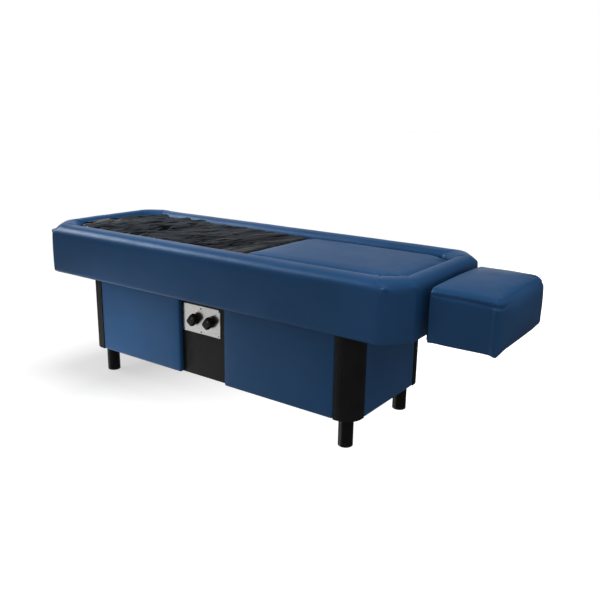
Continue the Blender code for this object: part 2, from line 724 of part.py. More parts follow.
SUMP_CORNER_CUT = 0.030        # the sump's head corners are cut off like the tray's
SUCTION_RADIUS = 0.021
PIPE_RADIUS = 0.010
PIPE_Y = 0.236                # the supply pipe's run behind the sump
HOSE_RADIUS = 0.006
HOSE_WALL_Z = 0.440           # where the supply passes the sump's rear wall
HOSE_PORT_Y = 0.070           # the hose's port under the carriage
HOSE_LOOP_BOTTOM = 0.300

CARRIAGE_HALF_LENGTH = 0.060
CARRIAGE_HALF_HEIGHT = 0.014
CARRIAGE_OVERHANG = 0.024     # past each rail's middle
NOZZLE_Y = 0.075
NOZZLE_PROFILE = ((0.022, 0.0), (0.022, 0.014), (0.013, 0.040), (0.011, 0.050), (0.004, 0.050),
                  (0.006, 0.0))
BELT_HALF_HEIGHT = 0.006
BELT_FACES = (0.0005, 0.0025)          # inner and outer face, off the pulleys' rims
PULLEY_FLANGE = 0.003
CLAMP_HALF_LENGTH = 0.020
DRIVE_MOTOR_RADIUS = 0.033
DRIVE_MOTOR_BOTTOM = 0.390

PUMP_RADIUS = 0.074
PUMP_DEPTH = 0.060
PUMP_WALL = 0.008
PUMP_EYE_RADIUS = 0.024
PUMP_OUTLET = (0.030, 0.045)  # along X and Y, from the housing's suction face on the axis
IMPELLER_RADIUS = 0.055
PUMP_MOTOR_RADIUS = 0.056
PUMP_MOTOR_LENGTH = 0.200
CRADLE_SPAN = (0.090, 0.230)  # along X, from the pump's suction face
CRADLE_HALF_WIDTH = 0.060
HEATER_LEFT = -0.055
HEATER_LENGTH = 0.120
BOX_SPAN = ((-0.110, 0.090), (0.110, 0.235))       # the control box along X and Y
BOX_HEIGHT = 0.075


def tray_loop(distance, height):
    """The tray's outline, a distance inside its outer wall, at a height."""
    outline = top_outline(TANK_SETBACK + distance, TANK_RIGHT - distance)
    return level(rounded(outline, 0.012, CORNER_STEPS), height)


def sump_loop(distance, height):
    """The sump's outline, a distance inside its outer wall, at a height: the tray's six corners."""
    width = SUMP_HALF_WIDTH
    cut = SUMP_CORNER_CUT
    corners = [Vector((SUMP_LEFT + cut, width)), Vector((SUMP_LEFT, width - cut)),
               Vector((SUMP_LEFT, cut - width)), Vector((SUMP_LEFT + cut, -width)),
               Vector((SUMP_RIGHT, -width)), Vector((SUMP_RIGHT, width))]
    return level(rounded(inset(corners, distance), 0.012, CORNER_STEPS), height)


def make_tank(paints):
    """Open plastic tank: a shallow tray with a deep sump, hung on the ledge by its flange."""
    wall = TANK_WALL
    flange = 0.018
    slope = 0.012
    bottom = TANK_FLOOR - wall
    loops = [
        sump_loop(slope, SUMP_BOTTOM),
        sump_loop(0.0, SUMP_BOTTOM + slope),
        sump_loop(0.0, bottom),
        tray_loop(slope, bottom),
        tray_loop(0.0, bottom + slope),
        tray_loop(0.0, FLANGE_TOP - wall),
        tray_loop(-flange, FLANGE_TOP - wall),
        tray_loop(-flange, FLANGE_TOP),
        tray_loop(wall, FLANGE_TOP),
        tray_loop(wall, TANK_FLOOR + slope),
        tray_loop(wall + slope, TANK_FLOOR),
        sump_loop(wall, TANK_FLOOR),
        sump_loop(wall, SUMP_BOTTOM + slope + wall),
        sump_loop(wall + slope, SUMP_BOTTOM + wall),
    ]
    tank = loft("water_tank", loops, paints["tank"])
    drill(tank, [
        ((DRIVE_PULLEY_X, 0.0, TANK_FLOOR - 0.02), 0.0055, 0.04, (0.0, 0.0, 0.0)),
        ((CARRIAGE_X, SUMP_HALF_WIDTH + 0.02, HOSE_WALL_Z), PIPE_RADIUS - 0.004, 0.04, TOWARDS_FRONT),
        ((SUMP_RIGHT - 0.02, 0.0, PUMP_Z), SUCTION_RADIUS - 0.004, 0.04, ALONG_X),
    ])


def make_jet_drive(paints):
    """Rails, carriage, two nozzles, belt, pulleys and the motor that drives the belt."""
    rail_left = -OPENING_HALF_LENGTH + TANK_SETBACK + TANK_WALL + 0.0005
    rail_right = TANK_RIGHT - TANK_WALL - 0.0005
    for side, word in ((-1, "front"), (1, "rear")):
        turned("jet_rail_" + word, [(RAIL_RADIUS, 0.0), (RAIL_RADIUS, rail_right - rail_left)],
               paints["steel"], (rail_left, side * RAIL_Y, RAIL_Z), ALONG_X, 20)
    half = Vector((CARRIAGE_HALF_LENGTH, RAIL_Y + CARRIAGE_OVERHANG, CARRIAGE_HALF_HEIGHT))
    middle = Vector((CARRIAGE_X, 0.0, RAIL_Z))
    carriage = block("jet_carriage", middle - half, middle + half, paints["acetal"], 0.002, 1)
    bore_start = CARRIAGE_X - CARRIAGE_HALF_LENGTH - 0.010
    bore_length = 2 * (CARRIAGE_HALF_LENGTH + 0.010)
    drill(carriage, [((bore_start, side * RAIL_Y, RAIL_Z), RAIL_RADIUS + 0.0006, bore_length, ALONG_X)
                     for side in (-1, 1)])
    top = RAIL_Z + CARRIAGE_HALF_HEIGHT + GAP
    for side, word in ((-1, "front"), (1, "rear")):
        turned("jet_nozzle_" + word, NOZZLE_PROFILE, paints["brass"],
               (CARRIAGE_X, side * NOZZLE_Y, top), ring=True)
    make_belt_drive(paints)


def make_belt_drive(paints):
    """Toothless belt round two pulleys, the clamp that grips it and the gear motor."""
    flange = PULLEY_RADIUS + PULLEY_FLANGE
    belt_top = BELT_Z + BELT_HALF_HEIGHT
    flange_top = BELT_Z - BELT_HALF_HEIGHT - 0.001
    flange_bottom = flange_top - 0.002
    drive = [(0.005, BELT_Z - 0.062), (0.005, flange_bottom), (flange, flange_bottom),
             (flange, flange_top), (PULLEY_RADIUS, flange_top), (PULLEY_RADIUS, belt_top)]
    turned("drive_pulley", drive, paints["acetal"], (DRIVE_PULLEY_X, 0.0, 0.0), segments=32)
    turned("idler_pin", [(0.010, TANK_FLOOR + GAP), (0.010, TANK_FLOOR + 0.006),
                         (0.004, TANK_FLOOR + 0.006), (0.004, belt_top)],
           paints["steel"], (IDLER_PULLEY_X, 0.0, 0.0), segments=20)
    idler = [(0.0044, flange_bottom), (flange, flange_bottom), (flange, flange_top),
             (PULLEY_RADIUS, flange_top), (PULLEY_RADIUS, belt_top), (0.0044, belt_top)]
    turned("idler_pulley", idler, paints["acetal"], (IDLER_PULLEY_X, 0.0, 0.0), segments=32, ring=True)
    loops = []
    inner, outer = BELT_FACES
    for off, height in ((inner, -1), (inner, 1), (outer, 1), (outer, -1)):
        loops.append([Vector((x, y, BELT_Z + height * (BELT_HALF_HEIGHT - 0.0005)))
                      for x, y in belt_path(PULLEY_RADIUS + off)])
    loft("drive_belt", loops, paints["hose"], ring=True)
    face = PULLEY_RADIUS + outer + 0.001
    block("belt_clamp", (CARRIAGE_X - CLAMP_HALF_LENGTH, face, BELT_Z - 0.008),
          (CARRIAGE_X + CLAMP_HALF_LENGTH, face + 0.012, RAIL_Z - CARRIAGE_HALF_HEIGHT - GAP),
          paints["steel"], 0.001, 1)
    under = TANK_FLOOR - TANK_WALL - GAP
    bore = 0.0065
    motor = [(DRIVE_MOTOR_RADIUS - 0.003, DRIVE_MOTOR_BOTTOM),
             (DRIVE_MOTOR_RADIUS, DRIVE_MOTOR_BOTTOM + 0.004), (DRIVE_MOTOR_RADIUS, under),
             (bore, under), (bore, BELT_Z - 0.066)]
    turned("drive_motor", motor, paints["motor"], (DRIVE_PULLEY_X, 0.0, 0.0), segments=28)


def belt_path(reach):
    """Plan path of the belt: two straights and a half turn round each pulley."""
    steps = 10
    points = []
    for centre, start in ((DRIVE_PULLEY_X, -pi / 2), (IDLER_PULLEY_X, pi / 2)):
        for step in range(steps + 1):
            turn = start + pi * step / steps
            points.append((centre + reach * cos(turn), reach * sin(turn)))
    return points


def make_pump(paints):
    """Pump, impeller, motor, suction pipe with its band heater, and the control box."""
    place = (PUMP_X, 0.0, PUMP_Z)
    edge = 0.004
    radius, depth, wall = PUMP_RADIUS, PUMP_DEPTH, PUMP_WALL
    housing = [(PUMP_EYE_RADIUS, 0.0), (radius - edge, 0.0), (radius, edge), (radius, depth - edge),
               (radius - edge, depth), (0.008, depth), (0.008, depth - wall),
               (radius - wall, depth - wall), (radius - wall, wall), (PUMP_EYE_RADIUS, wall)]
    casing = turned("pump_housing", housing, paints["acetal"], place, ALONG_X, 32, ring=True)
    along, aside = PUMP_OUTLET
    drill(casing, [((PUMP_X + along, aside, PUMP_Z + 0.02), PIPE_RADIUS - 0.003, 0.07, (0.0, 0.0, 0.0))])
    tip = IMPELLER_RADIUS
    turned("impeller", [(tip - 0.005, 0.014), (tip, 0.018), (tip, 0.040), (tip - 0.005, 0.046),
                        (0.006, 0.046), (0.006, 0.072)], paints["brass"], place, ALONG_X, 28)
    radius, length = PUMP_MOTOR_RADIUS, PUMP_MOTOR_LENGTH
    motor = [(radius - edge, length), (radius, length - edge), (radius, edge), (radius - edge, 0.0),
             (0.0068, 0.0), (0.0068, 0.016)]
    turned("pump_motor", motor, paints["motor"], (PUMP_X + PUMP_DEPTH + 0.0005, 0.0, PUMP_Z), ALONG_X, 28)
    floor = CABINET_BOTTOM + FLOOR_THICKNESS + GAP
    block("pump_cradle", (PUMP_X + CRADLE_SPAN[0], -CRADLE_HALF_WIDTH, floor),
          (PUMP_X + CRADLE_SPAN[1], CRADLE_HALF_WIDTH, PUMP_Z - PUMP_MOTOR_RADIUS - GAP),
          paints["black"], 0.002, 1)
    tube("suction_pipe", SUCTION_RADIUS, SUCTION_RADIUS - 0.003, PUMP_X - SUMP_RIGHT - 2 * GAP,
         paints["tank"], (SUMP_RIGHT + GAP, 0.0, PUMP_Z), ALONG_X)
    tube("band_heater", SUCTION_RADIUS + 0.009, SUCTION_RADIUS + GAP, HEATER_LENGTH,
         paints["steel"], (HEATER_LEFT, 0.0, PUMP_Z), ALONG_X)
    (left, right), (front, rear) = BOX_SPAN
    block("control_box", (left, front, floor), (right, rear, floor + BOX_HEIGHT),
          paints["motor"], 0.004, 1)
    back = CABINET_HALF_WIDTH - PANEL_THICKNESS
    half, lift = INLET_HALF_WIDTH, INLET_HALF_HEIGHT
    inlet = block("power_inlet", (-half, back - 0.022, INLET_Z - lift),
                  (half, CABINET_HALF_WIDTH, INLET_Z + lift), paints["knob"], 0.002, 1)
    window(inlet, (-half + 0.010, back - 0.004, INLET_Z - lift + 0.005),
           (half - 0.010, CABINET_HALF_WIDTH + 0.01, INLET_Z + lift - 0.005))


def catmull_rom(points, share):
    """A point on the smooth curve through a list of points, share running from 0 to 1."""
    place = share * (len(points) - 1)
    index = min(int(place), len(points) - 2)
    part = place - index
    before = points[max(index - 1, 0)]
    first = points[index]
    second = points[index + 1]
    after = points[min(index + 2, len(points) - 1)]
    return 0.5 * (2 * first + (second - before) * part
                  + (2 * before - 5 * first + 4 * second - after) * part ** 2
                  + (3 * first - before - 3 * second + after) * part ** 3)


def smooth_points(route, spacing):
    """Points a spacing apart, more or less, on the smooth curve through a route's points."""
    length = sum((after - before).length for before, after in zip(route, route[1:]))
    count = round(length / spacing)
    return [catmull_rom(route, index / count) for index in range(count + 1)]


def tube_along(name, points, radius, paint):
    """A tube with filled ends along a line of points."""
    curve = bpy.data.curves.new(name, 'CURVE')
    curve.dimensions = '3D'
    curve.bevel_depth = radius
    curve.bevel_resolution = 2
    curve.use_fill_caps = True
    curve.materials.append(paint)
    spline = curve.splines.new('POLY')
    spline.points.add(len(points) - 1)
    for place, point in zip(points, spline.points):
        point.co = (*place, 1.0)
    made = bpy.data.objects.new(name, curve)
    bpy.context.scene.collection.objects.link(made)
    made.location = (TABLE_X, 0.0, 0.0)


def bend(centre, radius, first, second, steps=5):
    """Points of a quarter bend about a centre, from one direction to another."""
    turns = (pi / 2 * step / steps for step in range(steps + 1))
    return [Vector(centre) + radius * (Vector(first) * cos(turn) + Vector(second) * sin(turn))
            for turn in turns]


def make_supply(paints):
    """Rigid pipe from the pump to the sump's rear wall, and the hose from there to the carriage."""
    along, aside = PUMP_OUTLET
    outlet = Vector((PUMP_X + along, aside, PUMP_Z + PUMP_RADIUS + GAP))
    run_z = HOSE_WALL_Z
    turn = 0.030
    route = [outlet, outlet + Vector((0.0, 0.0, 0.020))]
    route += bend((outlet.x, outlet.y + turn, run_z - turn), turn, (0, -1, 0), (0, 0, 1))
    route += bend((outlet.x - turn, PIPE_Y - turn, run_z), turn, (1, 0, 0), (0, 1, 0))
    route += bend((CARRIAGE_X + turn, PIPE_Y - turn, run_z), turn, (0, 1, 0), (-1, 0, 0))
    route += [Vector((CARRIAGE_X, SUMP_HALF_WIDTH + reach, run_z)) for reach in (0.006, 0.0015)]
    tube_along("supply_pipe", route, PIPE_RADIUS, paints["tank"])
    start = Vector((CARRIAGE_X, SUMP_HALF_WIDTH - TANK_WALL - 0.001, run_z))
    end = Vector((CARRIAGE_X, HOSE_PORT_Y, RAIL_Z - CARRIAGE_HALF_HEIGHT - 0.001))
    drop = HOSE_LOOP_BOTTOM
    reach = (start.y - 0.014 - end.y) / 2
    middle = end.y + reach
    loop = [Vector((CARRIAGE_X, middle + reach * cos(angle), drop + reach - reach * sin(angle)))
            for angle in (pi * step / 6 for step in range(7))]
    route = [start, start + Vector((0.0, -0.010, -0.005)),
             Vector((CARRIAGE_X, middle + reach, run_z - 0.030))]
    route += loop
    route += [Vector((CARRIAGE_X, end.y, (drop + reach + end.z) / 2)), end]
    tube_along("supply_hose", smooth_points(route, 0.024), HOSE_RADIUS, paints["hose"])


# ---------------------------------------------------------------------------------------------
# Whole object
# ---------------------------------------------------------------------------------------------

def main():
    """Clear the scene and build every piece."""
    for old in list(bpy.data.objects):
        bpy.data.objects.remove(old, do_unlink=True)
    paints = make_materials()
    make_deck_rim(paints)
    make_deck_frame(paints)
    make_deck_floor(paints)
    make_support_frame(paints)
    make_membrane_frame(paints)
    make_membrane(paints)
    make_leg_pad(paints)
    make_extension(paints)
    make_cabinet(paints)
    make_controls(paints)
    make_tank(paints)
    make_jet_drive(paints)
    make_pump(paints)
    make_supply(paints)


main()
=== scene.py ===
"""Looks of a dry hydrotherapy massage table: vinyl upholstery, a wrinkled rubber membrane over its
tank, the control plate with its knobs, and the finish of every part of its frame, jets and pump.

Metres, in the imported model's own frame: +X towards the foot extension, -Y the side with the knobs.
"""

import json
from math import cos, exp, pi, radians, sin, tan

import bmesh
import bpy
import numpy as np
from mathutils import Matrix, Vector, noise

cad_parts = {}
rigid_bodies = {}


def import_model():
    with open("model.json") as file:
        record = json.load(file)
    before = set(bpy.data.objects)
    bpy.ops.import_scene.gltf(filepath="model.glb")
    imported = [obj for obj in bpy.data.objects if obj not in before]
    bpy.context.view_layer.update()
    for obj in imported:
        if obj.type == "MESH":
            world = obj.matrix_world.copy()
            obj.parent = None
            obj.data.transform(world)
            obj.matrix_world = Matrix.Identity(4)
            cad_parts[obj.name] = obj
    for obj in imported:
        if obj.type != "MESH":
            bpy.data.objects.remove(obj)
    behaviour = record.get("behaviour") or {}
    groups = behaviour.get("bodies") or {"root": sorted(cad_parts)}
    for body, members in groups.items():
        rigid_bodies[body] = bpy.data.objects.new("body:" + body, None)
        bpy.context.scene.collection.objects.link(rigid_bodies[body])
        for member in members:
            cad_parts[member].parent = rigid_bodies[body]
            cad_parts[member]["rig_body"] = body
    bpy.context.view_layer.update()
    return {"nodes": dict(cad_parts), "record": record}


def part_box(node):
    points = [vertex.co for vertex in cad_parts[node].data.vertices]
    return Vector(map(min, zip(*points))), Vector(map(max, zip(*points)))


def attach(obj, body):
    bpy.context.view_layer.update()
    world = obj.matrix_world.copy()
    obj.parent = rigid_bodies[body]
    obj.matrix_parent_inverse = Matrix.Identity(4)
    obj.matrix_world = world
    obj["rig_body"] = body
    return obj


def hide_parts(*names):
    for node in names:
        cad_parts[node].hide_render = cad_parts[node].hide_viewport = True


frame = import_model()
NODES = frame["nodes"]

# --- Driving dimensions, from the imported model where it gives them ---

RIM_LOW, RIM_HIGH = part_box("deck_rim")
TABLE_X = (RIM_LOW.x + RIM_HIGH.x) / 2      # the deck's middle, off the whole object's middle
DECK_HALF_LENGTH = (RIM_HIGH.x - RIM_LOW.x) / 2
DECK_HALF_WIDTH = RIM_HIGH.y
DECK_TOP = RIM_HIGH.z
DECK_BOTTOM = RIM_LOW.z
DECK_CORNER_CUT = (0.075, 0.109)
OPENING_HALF_LENGTH = DECK_HALF_LENGTH - 0.0755
OPENING_HALF_WIDTH = DECK_HALF_WIDTH - 0.113
OPENING_CORNER_CUT = (0.076, 0.057)
LIP_BOTTOM = 0.6545


# --- Material building blocks ---

RANGE_ENDS = ("From Min", "From Max", "To Min", "To Max")


def add_node(tree, kind, **values):
    """Add a node and set its inputs or properties by name."""
    node = tree.nodes.new(kind)
    for key, value in values.items():
        if key in node.inputs:
            node.inputs[key].default_value = value
        else:
            setattr(node, key, value)
    return node


def feed(tree, socket, value):
    """Link an output to a socket, or set the socket to a plain value."""
    if isinstance(value, bpy.types.NodeSocket):
        tree.links.new(value, socket)
    else:
        socket.default_value = value


class Paint:
    """A Principled material with short ways to add procedural texture nodes to it."""

    def __init__(self, name, colour, roughness, metallic=0.0, specular=0.5):
        self.material = bpy.data.materials.new(name)
        self.material.use_nodes = True
        self.tree = self.material.node_tree
        self.shader = self.tree.nodes["Principled BSDF"]
        self.colour = colour
        self.material.diffuse_color = (*colour, 1.0)
        self.set("Base Color", (*colour, 1.0))
        self.set("Roughness", roughness)
        self.set("Metallic", metallic)
        self.set("Specular IOR Level", specular)
        self.place = self.add("ShaderNodeTexCoord").outputs["Object"]
        self.normal = None

    def set(self, socket, value):
        """Set one of the shader's own sockets."""
        self.shader.inputs[socket].default_value = value

    def add(self, kind, **values):
        """Add a node to the material."""
        return add_node(self.tree, kind, **values)

    def link(self, source, target):
        self.tree.links.new(source, target)

    def stretched(self, scale, turn=0.0):
        """Object coordinates turned about Z, then scaled, so that a texture runs along one way."""
        mapping = self.add("ShaderNodeMapping", vector_type='TEXTURE')
        mapping.inputs["Rotation"].default_value = (0.0, 0.0, turn)
        mapping.inputs["Scale"].default_value = [1.0 / factor for factor in scale]
        self.link(self.place, mapping.inputs["Vector"])
        return mapping.outputs["Vector"]

    def axis(self, letter, vector=None):
        """One coordinate of the place on the object, or of another vector."""
        node = self.add("ShaderNodeSeparateXYZ")
        self.link(vector or self.place, node.inputs["Vector"])
        return node.outputs[letter]

    def remap(self, value, *ends):
        """Map a value from one range to another, or to 0 to 1."""
        node = self.add("ShaderNodeMapRange", **dict(zip(RANGE_ENDS, ends)))
        self.link(value, node.inputs["Value"])
        return node.outputs["Result"]

    def noise(self, scale, detail=3.0, vector=None, distortion=0.0):
        node = self.add("ShaderNodeTexNoise", Scale=scale, Detail=detail, Distortion=distortion)
        self.link(vector or self.place, node.inputs["Vector"])
        return node.outputs["Fac"]

    def cells(self, scale, vector=None, feature='F1'):
        node = self.add("ShaderNodeTexVoronoi", Scale=scale, feature=feature)
        self.link(vector or self.place, node.inputs["Vector"])
        return node.outputs["Distance"]

    def ramp(self, factor, stops):
        """Colours or grey values against a factor: stops are (place, grey or rgb)."""
        node = self.add("ShaderNodeValToRGB")
        self.link(factor, node.inputs["Fac"])
        elements = node.color_ramp.elements
        while len(elements) < len(stops):
            elements.new(0.5)
        for element, (place, tone) in zip(elements, stops):
            element.position = place
            rgb = (tone, tone, tone) if isinstance(tone, float) else tone
            element.color = (*rgb, 1.0)
        return node.outputs["Color"]

    def blend(self, factor, first, second, mode='MIX'):
        """Mix two colours, each an output or an rgb value."""
        node = self.add("ShaderNodeMix", data_type='RGBA', blend_type=mode)
        for index, value in ((0, factor), (6, first), (7, second)):
            feed(self.tree, node.inputs[index], (*value, 1.0) if isinstance(value, tuple) else value)
        return node.outputs[2]

    def tint(self, factor, low, high, places=(0.35, 0.65)):
        """The base colour varied between two shares of itself by a texture."""
        stops = [(place, tuple(channel * share for channel in self.colour))
                 for place, share in zip(places, (low, high))]
        return self.ramp(factor, stops)

    def base(self, colour):
        self.link(colour, self.shader.inputs["Base Color"])

    def rough(self, factor, low, high, places=(0.3, 0.7)):
        """Vary the roughness between two values by a texture."""
        stops = [(places[0], low), (places[1], high)]
        self.link(self.ramp(factor, stops), self.shader.inputs["Roughness"])

    def bump(self, height, distance, strength=1.0):
        """Raise the surface by a texture; several calls add up."""
        node = self.add("ShaderNodeBump", Strength=strength, Distance=distance)
        self.link(height, node.inputs["Height"])
        if self.normal:
            self.link(self.normal, node.inputs["Normal"])
        self.normal = node.outputs["Normal"]
        self.link(self.normal, self.shader.inputs["Normal"])

    def worn(self, colour, worn_colour, radius=0.0012):
        """Mix in a worn colour along edges, broken up by a fine texture."""
        rounded = self.add("ShaderNodeBevel", Radius=radius, samples=4)
        turn = self.add("ShaderNodeVectorMath", operation='DOT_PRODUCT')
        self.link(rounded.outputs["Normal"], turn.inputs[0])
        self.link(self.add("ShaderNodeNewGeometry").outputs["Normal"], turn.inputs[1])
        edge = self.ramp(turn.outputs["Value"], [(0.80, 1.0), (0.98, 0.0)])
        patchy = self.ramp(self.noise(60.0, 4.0), [(0.45, 0.0), (0.6, 1.0)])
        return self.blend(self.blend(1.0, edge, patchy, 'MULTIPLY'), colour, worn_colour)


# --- Materials ---

def vinyl():
    """Slate blue upholstery vinyl with a fine leather grain."""
    paint = Paint("upholstery_vinyl", (0.0165, 0.074, 0.192), 0.36, specular=0.34)
    paint.set("Specular Tint", (0.70, 0.85, 1.0, 1.0))
    tone = paint.tint(paint.noise(2.6, 2.0), 0.93, 1.08)
    fine = paint.ramp(paint.noise(420.0, 3.0), [(0.30, 0.90), (0.70, 1.0)])
    paint.base(paint.blend(1.0, tone, fine, 'MULTIPLY'))
    paint.rough(paint.noise(9.0, 3.0), 0.33, 0.40)
    paint.bump(paint.cells(950.0), 0.00010, 0.30)
    paint.bump(paint.noise(260.0, 2.0), 0.00012, 0.35)
    return paint.material


def membrane_rubber():
    """Thin black rubber sheet, satin, with a dusty bloom, and painted shade in its creases and towards the
    pad.
    """
    paint = Paint("membrane_rubber", (0.036, 0.0430, 0.0520), 0.36, specular=0.60)
    paint.set("Specular Tint", (0.82, 0.92, 1.0, 1.0))
    bloom = paint.ramp(paint.noise(7.0, 5.0), [(0.40, 0.0), (0.72, 0.5)])
    dusty = paint.blend(bloom, paint.tint(paint.noise(90.0, 3.0), 0.85, 1.2), (0.056, 0.062, 0.070))
    # Painted shade: colour and specular level fall to about 0.6 between x = -0.62 and -0.10, darker towards
    # the pad.
    shade_towards_pad = paint.remap(paint.axis("X"), -0.62, -0.10)
    tone = paint.ramp(shade_towards_pad, [(0.0, 1.0), (1.0, (0.62, 0.56, 0.56))])
    # Painted shade in the creases: thin dark lines along the folds' direction; the same lines also sink the
    # bump.
    shaded_furrows = paint.noise(3.2, 3.0, paint.stretched((0.55, 9.0, 1.0), FOLD_DIRECTION), 0.8)
    dark = paint.ramp(shaded_furrows, [(0.455, 1.0), (0.490, 0.12), (0.502, 0.12), (0.530, 1.0)])
    shade = paint.blend(1.0, tone, dark, 'MULTIPLY')
    paint.base(paint.blend(1.0, dusty, shade, 'MULTIPLY'))
    # The painted shade also dims the reflections, through the specular level.
    gloss = paint.blend(1.0, shade, (0.60, 0.60, 0.60), 'MULTIPLY')
    paint.link(gloss, paint.shader.inputs["Specular IOR Level"])
    paint.rough(paint.noise(14.0, 4.0), 0.28, 0.42)
    creases = paint.noise(4.0, 2.0, paint.stretched((0.6, 7.0, 1.0), FOLD_DIRECTION), 0.6)
    ridges = paint.ramp(creases, [(0.40, 0.0), (0.47, 0.6), (0.50, 1.0), (0.53, 0.6), (0.60, 0.0)])
    paint.bump(ridges, 0.005, 0.6)
    paint.bump(dark, 0.004, 0.5)
    paint.bump(paint.noise(700.0, 3.0), 0.00008, 0.4)
    return paint.material


def laminate():
    """Black moulded laminate with a fine pebble."""
    paint = Paint("black_laminate_board", (0.0125, 0.0125, 0.0135), 0.46, specular=0.30)
    tone = paint.tint(paint.noise(12.0, 3.0), 0.88, 1.14)
    paint.base(paint.worn(tone, (0.035, 0.035, 0.036)))
    paint.rough(paint.noise(25.0, 3.0), 0.42, 0.52)
    paint.bump(paint.cells(620.0), 0.00012, 0.5)
    return paint.material


def leg_lacquer():
    """Black lacquer on the legs, slightly scuffed at the floor."""
    paint = Paint("leg_lacquer", (0.0075, 0.0075, 0.0085), 0.34, specular=0.35)
    scuffs = paint.ramp(paint.axis("Z"), [(0.0, 0.8), (0.02, 0.0)])
    marks = paint.ramp(paint.noise(70.0, 5.0, paint.stretched((1.0, 1.0, 4.0))), [(0.52, 0.0), (0.62, 1.0)])
    worn = paint.blend(1.0, scuffs, marks, 'MULTIPLY')
    paint.base(paint.blend(worn, paint.tint(paint.noise(20.0), 0.9, 1.2), (0.05, 0.05, 0.05)))
    paint.rough(paint.noise(30.0, 3.0), 0.30, 0.40)
    paint.bump(paint.noise(240.0, 2.0), 0.00010, 0.35)
    return paint.material


def steel():
    """Brushed stainless steel, its lines along X."""
    paint = Paint("brushed_stainless", (0.91, 0.905, 0.88), 0.32, metallic=1.0)
    lines = paint.noise(40.0, 5.0, paint.stretched((1.0, 60.0, 60.0)))
    paint.base(paint.worn(paint.tint(lines, 0.88, 1.08), (0.95, 0.94, 0.92)))
    paint.rough(lines, 0.24, 0.38)
    paint.bump(lines, 0.00006, 0.5)
    return paint.material


def chrome():
    """Polished tube of the foot extension, with a few slide marks."""
    paint = Paint("polished_tube", (0.74, 0.74, 0.74), 0.12, metallic=1.0)
    slides = paint.noise(30.0, 4.0, paint.stretched((0.6, 80.0, 80.0)))
    paint.base(paint.tint(slides, 0.93, 1.03))
    paint.rough(slides, 0.08, 0.20)
    paint.bump(slides, 0.00003, 0.3)
    return paint.material


def plywood():
    """Birch plywood: long grain on its faces and plies along its edges."""
    paint = Paint("birch_ply", (0.56, 0.40, 0.235), 0.60, specular=0.3)
    grain = paint.noise(26.0, 6.0, paint.stretched((0.7, 7.0, 7.0)), 0.5)
    wood = paint.ramp(grain, [(0.30, (0.40, 0.26, 0.14)), (0.52, (0.56, 0.40, 0.235)),
                              (0.72, (0.66, 0.50, 0.32))])
    plies = paint.add("ShaderNodeTexWave", Scale=115.0, Distortion=0.6, bands_direction='Z')
    paint.link(paint.place, plies.inputs["Vector"])
    facing = paint.axis("Z", paint.add("ShaderNodeNewGeometry").outputs["Normal"])
    upright = paint.add("ShaderNodeMath", operation='ABSOLUTE')
    paint.link(facing, upright.inputs[0])
    edge = paint.ramp(upright.outputs["Value"], [(0.4, 0.55), (0.6, 0.0)])
    dark = paint.ramp(plies.outputs["Color"], [(0.35, (0.33, 0.20, 0.10)), (0.65, (0.62, 0.46, 0.29))])
    paint.base(paint.blend(edge, wood, dark))
    paint.rough(grain, 0.52, 0.68)
    paint.bump(grain, 0.0003, 0.4)
    return paint.material


def moulded(name, colour, roughness, mottling, grain):
    """Moulded plastic: faint flow mottling and a fine moulded texture."""
    paint = Paint(name, colour, roughness, specular=0.4)
    flow = paint.noise(6.0, 3.0, paint.stretched((1.0, 1.0, 2.5)), 0.4)
    low, high = 1.0 - mottling, 1.0 + mottling / 2
    paint.base(paint.worn(paint.tint(flow, low, high), tuple(min(1.0, c * 1.4 + 0.01) for c in colour)))
    paint.rough(paint.noise(18.0, 3.0), roughness - 0.05, roughness + 0.06)
    paint.bump(paint.cells(grain), 0.00010, 0.4)
    return paint.material


def motor_enamel():
    """Grey machine enamel with orange peel and chipped edges."""
    paint = Paint("motor_enamel", (0.105, 0.120, 0.130), 0.42, specular=0.45)
    tone = paint.tint(paint.noise(11.0, 4.0), 0.86, 1.12)
    paint.base(paint.worn(tone, (0.32, 0.32, 0.31), 0.0015))
    paint.rough(paint.noise(40.0, 3.0), 0.34, 0.50)
    paint.bump(paint.noise(330.0, 2.0), 0.00015, 0.5)
    return paint.material


def hose_rubber():
    """Matt black hose and belt rubber with a woven trace."""
    paint = Paint("woven_hose_rubber", (0.024, 0.024, 0.024), 0.60, specular=0.3)
    weave = paint.cells(420.0)
    paint.base(paint.tint(weave, 0.75, 1.35, (0.1, 0.6)))
    paint.rough(paint.noise(30.0), 0.55, 0.68)
    paint.bump(weave, 0.0002, 0.5)
    return paint.material


def brass():
    """Turned brass with tarnish in patches."""
    paint = Paint("turned_brass", (0.68, 0.47, 0.20), 0.28, metallic=1.0)
    tarnish = paint.ramp(paint.noise(24.0, 5.0), [(0.45, 0.0), (0.70, 0.6)])
    turning = paint.noise(50.0, 3.0, paint.stretched((1.0, 1.0, 26.0)))
    paint.base(paint.blend(tarnish, paint.tint(turning, 0.9, 1.06), (0.30, 0.19, 0.08)))
    paint.rough(paint.noise(35.0, 4.0), 0.22, 0.42)
    paint.bump(turning, 0.00005, 0.4)
    return paint.material


def pigment(name, colour):
    """Printed or inlaid marking paint."""
    paint = Paint(name, colour, 0.5, specular=0.3)
    paint.base(paint.tint(paint.noise(300.0, 3.0), 0.85, 1.1))
    paint.rough(paint.noise(200.0), 0.42, 0.58)
    return paint.material


